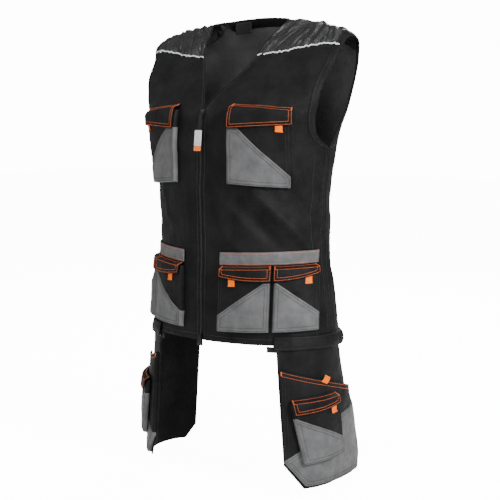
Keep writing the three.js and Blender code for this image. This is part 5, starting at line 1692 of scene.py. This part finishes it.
TAPE_HALF, ZIP_TOP = 13.0, NECK_DROP - 2.0
for name, side in SIDES:
    near, depth = (-1.5, -2.7) if side > 0 else (0.3, -3.9)
    columns = [near, 1.5, 4, 7, 10, TAPE_HALF]
    a, b = np.meshgrid(columns, np.linspace(ZIP_TOP, BODY_LENGTH - 1, 160))
    face = np.full(a.shape, depth)
    tape = shell(f"zip_tape_{name}", on_zip(side * a, b, face), on_zip(side * a, b, face - 1))
    sewn(tape, ZIP_TAPE, ["front_zip"])
    print(tape.name, TAPE_HALF, "mm wide from the middle")

# %% [markdown]
# The tooth: a small block with a narrower head, rounded all over with a bevel.

# %% Zip teeth
def active_part(name):
    obj = bpy.context.active_object
    obj.name = name
    obj.data.name = name
    return obj


def block(name, size, centre=(0, 0, 0)):
    """A plain block to model from, in millimetres. Its place goes into its mesh."""
    bpy.ops.object.select_all(action="DESELECT")
    bpy.ops.mesh.primitive_cube_add(
        size=1, location=[v * MM for v in centre], scale=[v * MM for v in size]
    )
    part = active_part(name)
    bpy.ops.object.transform_apply(location=True, rotation=True, scale=True)
    return part


def cut_up(cuts):
    bpy.ops.object.mode_set(mode="EDIT")
    bpy.ops.mesh.select_all(action="SELECT")
    bpy.ops.mesh.subdivide(number_cuts=cuts)
    bpy.ops.object.mode_set(mode="OBJECT")


def push_faces(part, test, move, inset=0):
    """Moves the faces whose centre and normal pass a test, inset first where that is asked for."""
    bpy.ops.object.mode_set(mode="EDIT")
    mesh = bmesh.from_edit_mesh(part.data)
    bpy.ops.mesh.select_all(action="DESELECT")
    bpy.context.tool_settings.mesh_select_mode = (False, False, True)
    for face in mesh.faces:
        if test(face.calc_center_median() / MM, face.normal):
            face.select = True
    bmesh.update_edit_mesh(part.data)
    if inset:
        bpy.ops.mesh.inset(thickness=inset * MM)
    bpy.ops.mesh.extrude_region_move(TRANSFORM_OT_translate={"value": [v * MM for v in move]})
    bpy.ops.object.mode_set(mode="OBJECT")


def round_edges(obj, width, segments=2):
    bevel = obj.modifiers.new("rounded edges", "BEVEL")
    bevel.width = width * MM
    bevel.segments = segments
    bevel.limit_method = "ANGLE"
    bpy.ops.object.modifier_apply(modifier=bevel.name)


TOOTH_PITCH = 2.4
tooth = block("tooth_pattern", (3.4, 2.2, 1.3))
push_faces(tooth, lambda centre, normal: normal.x < -0.9, (-0.5, 0, 0), inset=0.2)
round_edges(tooth, 0.16, 1)
tooth_vertices = np.array([v.co for v in tooth.data.vertices]) / MM
tooth_faces = [tuple(p.vertices) for p in tooth.data.polygons]
bpy.data.objects.remove(tooth)


def zip_teeth(name, side):
    first = ZIP_TOP + 3 + (TOOTH_PITCH / 2 if side < 0 else 0)
    vertices, faces = [], []
    for number, down in enumerate(np.arange(first, BODY_LENGTH - 4, TOOTH_PITCH)):
        centre = on_zip(side, down, -0.3)
        right = unit(on_zip(2 * side, down, -0.3) - centre)
        out = unit(on_zip(side, down, 0.7) - centre)
        vertices.append(centre + tooth_vertices @ np.stack([right, -out, np.cross(right, out)]))
        start = number * len(tooth_vertices)
        faces += [tuple(start + i for i in face) for face in tooth_faces]
    obj = face_outwards(new_object(f"zip_teeth_{name}", np.concatenate(vertices), faces))
    return trim_of(obj, BLACK_PLASTIC, ["front_zip"])


for name, side in SIDES:
    teeth = zip_teeth(name, side)
    print(teeth.name, len(teeth.data.polygons), "faces")

# %% [markdown]
# ## Slider, strap, tag and end pull
# The slider is a waisted block with a lug. It is modelled lying flat at the origin and then set on
# the zip by a matrix whose axes are the zip's own directions.

# %% Slider
def seat(obj, origin, right, up, out):
    """Moves a part modelled in x, y, z to a place on the vest with those directions."""
    mesh = np.array([v.co for v in obj.data.vertices])
    placed = np.asarray(origin) * MM + mesh @ np.stack([right, up, out])
    obj.data.vertices.foreach_set("co", placed.ravel())
    obj.data.update()
    return obj


def zip_frame(down, out):
    origin = on_zip(0, down, out)
    up = unit(on_zip(0, down - 3, out) - origin)
    right = np.array([1.0, 0.0, 0.0])
    return origin, right, up, unit(np.cross(right, up))


SLIDER_WIDTH, SLIDER_LENGTH, SLIDER_THICK = 9, 15, 2.6


def slider_part(name, origin, right, up, outward, size=1.0):
    centre = (0, 0, SLIDER_THICK / 2)
    slider = block(name, (SLIDER_WIDTH, SLIDER_LENGTH, SLIDER_THICK), centre)
    cut_up(4)
    for vertex in slider.data.vertices:
        vertex.co.x *= 0.74 + 0.26 * min(1.0, abs(vertex.co.y + 1.5 * MM) / (6 * MM)) ** 1.5
    push_faces(slider, lambda c, n: n.z > 0.9 and abs(c.x) < 1.2 and -4 < c.y < 4.6, (0, 0, 1.9))
    round_edges(slider, 0.5)
    for vertex in slider.data.vertices:
        vertex.co *= size
    return seat(slider, origin, right, up, outward)


SLIDER_DOWN = 3
slider = slider_part("zip_slider_moulded", *zip_frame(NECK_DROP + SLIDER_DOWN + SLIDER_LENGTH / 2, 0.5))
trim_of(slider, BLACK_PLASTIC, ["zip_slider"])
print(slider.name, len(slider.data.polygons), "faces")

# %% [markdown]
# A woven strap hangs from the slider and carries a soft grey tag with an orange tip. The tag is
# bare. Both hang nearly straight down, as a free zip pull does.

# %% Strap and tag
TAG_TURN = 0.01
STRAP_DOWN = SLIDER_DOWN + 0.45 * SLIDER_LENGTH
STRAP_LENGTH, STRAP_WIDTH = 40, 5
STRAP_OUT = 0.5 + 5 + GAP


def on_pull(across, past, out):
    """Places on the hanging pull: across it, and past the slider's lug."""
    return on_zip(across - past * TAG_TURN, NECK_DROP + STRAP_DOWN + past, STRAP_OUT + out)


a, b = np.meshgrid(np.linspace(-STRAP_WIDTH / 2, STRAP_WIDTH / 2, 7), np.linspace(0, STRAP_LENGTH, 40))
ribbed = on_pull(a, b, TRIM + 0.15 * np.cos(b * 2.2))
strap = shell("pull_strap_woven", ribbed, on_pull(a, b, 0 * a), rim=0.5)
sewn(strap, ZIP_TAPE, ["pull_strap"])

TAG_WIDTH, TAG_LENGTH, TAG_THICK = 17, 42, 2.4
TAG_TOP, TAG_STAND = STRAP_LENGTH - 5, TRIM + 0.3
origin = on_pull(0, TAG_TOP + TAG_LENGTH / 2, TAG_STAND)
up = unit(on_pull(0, TAG_TOP, TAG_STAND) - origin)
right = on_pull(5, TAG_TOP + TAG_LENGTH / 2, TAG_STAND) - origin
right = unit(right - up * np.dot(right, up))
tag_axes = (right, up, np.cross(right, up))


def tag_part(name, low, high, inset):
    part = block(name, (TAG_WIDTH, high - low, TAG_THICK), (0, (low + high) / 2, TAG_THICK / 2))
    bpy.ops.object.mode_set(mode="EDIT")
    bpy.ops.mesh.select_all(action="DESELECT")
    mesh = bmesh.from_edit_mesh(part.data)
    for edge in mesh.edges:
        ends = [v.co.z for v in edge.verts]
        edge.select = abs(ends[0] - ends[1]) > 0.5 * TAG_THICK * MM
    bmesh.update_edit_mesh(part.data)
    bpy.ops.mesh.bevel(offset=1.6 * MM, segments=4)
    bpy.ops.object.mode_set(mode="OBJECT")
    push_faces(part, lambda c, n: n.z > 0.9, (0, 0, -0.35), inset)
    round_edges(part, 0.25)
    return seat(part, origin, *tag_axes)


tag = tag_part("pull_tag_soft", -TAG_LENGTH / 4 - 0.5, TAG_LENGTH / 2, 1.4)
trim_of(tag, TAG_RUBBER, ["pull_tag"])
trim_of(tag_part("pull_tag_tip", -TAG_LENGTH / 2, -11.2, 1.2), TAG_TIP)
print("tag", TAG_WIDTH, "x", TAG_LENGTH, "mm")

# %% [markdown]
# The foot of the zip ends in a moulded stop just below the hem, and the holster's own zip shows a
# short end of tape with its slider beside the panel.

# %% End pull and holster zip ends
PULL_WIDTH, PULL_LENGTH, PULL_THICK = 12, 24, 5.2
PULL_SHARES, PULL_WIDTHS, PULL_HEIGHTS = [0, 0.25, 0.6, 1], [1, 1, 0.7, 0.45], [0.95, 1.0, 0.85, 0.6]


def end_pull():
    centre = (0, 0, PULL_THICK / 2)
    part = block("end_pull_moulded", (PULL_WIDTH, PULL_LENGTH, PULL_THICK), centre)
    cut_up(5)
    for vertex in part.data.vertices:
        share = (vertex.co.y / MM + PULL_LENGTH / 2) / PULL_LENGTH
        vertex.co.x *= np.interp(share, PULL_SHARES, PULL_WIDTHS)
        vertex.co.z *= np.interp(share, PULL_SHARES, PULL_HEIGHTS)
    grip = (0, 0, -0.7)
    push_faces(part, lambda c, n: n.z > 0.7 and abs(c.x) < 2.2 and -9 < c.y < -1, grip, inset=0.4)
    round_edges(part, 0.6)
    return seat(part, *zip_frame(BODY_LENGTH, 0.6))


trim_of(end_pull(), BLACK_PLASTIC, ["end_pull"])

STUB_LENGTH, STUB_FLAT = 28, (0.028, 0.0115)
for holster in HOLSTERS:
    name, body_frame = holster["name"], on_body(holster["side"])

    def stub_place(a, b, out, body_frame=body_frame, holster=holster):
        return body_frame(holster["start"] - 26 + a, BODY_LENGTH + 3 + b + 0.06 * a, -1.5 + out)

    a, b = np.meshgrid(np.linspace(0, STUB_LENGTH, 15), np.linspace(0, 11, 8))
    ribbed = stub_place(a, b, 1.2 + 0.2 * np.sin(a / 3))
    stub = shell(f"holster_zip_tape_{name}", ribbed, stub_place(a, b, 0 * a), rim=0.5)
    trim_of(stub, ZIP_TAPE)
    origin = stub_place(20, 6, 1.4)
    up = unit(stub_place(10, 6, 1.4) - origin)
    outward = unit(stub_place(20, 6, 2.4) - origin)
    axes = (np.cross(up, outward), up, outward)
    knob = slider_part(f"holster_zip_slider_{name}", origin, *axes, size=0.7)
    trim_of(knob, BLACK_PLASTIC)
print("end pull and two ends of holster zip")

# %% [markdown]
# ## Studio
# The picture is plain: a pale floor and background, and large soft lights so that the black cloth
# still shows its folds. The camera stands at the photograph's angle, well round to the wearer's
# left and at the height of the chest, with a long lens.

# %% Floor, lights and camera
def stage_material():
    material = bpy.data.materials.new("pale_floor")
    material.use_nodes = True
    shader = material.node_tree.nodes["Principled BSDF"]
    shader.inputs["Base Color"].default_value = (0.93, 0.93, 0.93, 1)
    shader.inputs["Roughness"].default_value = 0.9
    shader.inputs["Emission Color"].default_value = (1, 1, 1, 1)
    seen = material.node_tree.nodes.new("ShaderNodeLightPath")
    glow = material.node_tree.nodes.new("ShaderNodeMath")
    glow.operation = "MULTIPLY"
    glow.inputs[1].default_value = 13.0
    material.node_tree.links.new(seen.outputs["Is Camera Ray"], glow.inputs[0])
    material.node_tree.links.new(glow.outputs[0], shader.inputs["Emission Strength"])
    return material


bpy.ops.mesh.primitive_plane_add(size=24, location=(0, 0, BOUNDS_BEFORE[0][2] - 0.02))
floor = active_part("pale_floor")
floor.data.materials.append(stage_material())

world = bpy.data.worlds.new("studio")
bpy.context.scene.world = world
world.use_nodes = True
background = world.node_tree.nodes["Background"]
seen = world.node_tree.nodes.new("ShaderNodeLightPath")
brightness = world.node_tree.nodes.new("ShaderNodeMapRange")
brightness.inputs["To Min"].default_value = 0.34
brightness.inputs["To Max"].default_value = 14.0
world.node_tree.links.new(seen.outputs["Is Camera Ray"], brightness.inputs["Value"])
world.node_tree.links.new(brightness.outputs["Result"], background.inputs["Strength"])
background.inputs["Color"].default_value = (1, 1, 1, 1)


def soft_light(name, location, target, size, power):
    data = bpy.data.lights.new(name, "AREA")
    data.size = size
    data.energy = power
    light = bpy.data.objects.new(name, data)
    light.location = location
    direction = Vector(target) - Vector(location)
    light.rotation_euler = direction.to_track_quat("-Z", "Y").to_euler()
    bpy.context.scene.collection.objects.link(light)


soft_light("key", (2.5, -0.5, 0.8), (0, 0, -0.35), 0.6, 104)
soft_light("left", (-2.2, -1.6, 0.9), (0, 0, -0.4), 1.2, 22)
soft_light("above", (0.4, -0.9, 2.3), (0, 0, -0.2), 0.7, 42)
soft_light("front", (1.3, -2.8, 0.5), (0, 0, -0.4), 1.4, 40)
soft_light("behind", (-1.0, 2.6, 0.9), (0, 0, -0.3), 1.2, 70)

AZIMUTH, PITCH = math.radians(38.1), math.radians(6.41)
DISTANCE, HEIGHT = 2.419, -0.212
camera_data = bpy.data.cameras.new("camera")
camera_data.lens = 81.4
camera_data.sensor_width = 36
camera_data.shift_x = 0.0084
camera = bpy.data.objects.new("camera", camera_data)
camera.location = (DISTANCE * math.sin(AZIMUTH), -DISTANCE * math.cos(AZIMUTH), HEIGHT)
camera.rotation_euler = (math.pi / 2 - PITCH, 0, AZIMUTH)
bpy.context.scene.collection.objects.link(camera)
bpy.context.scene.camera = camera
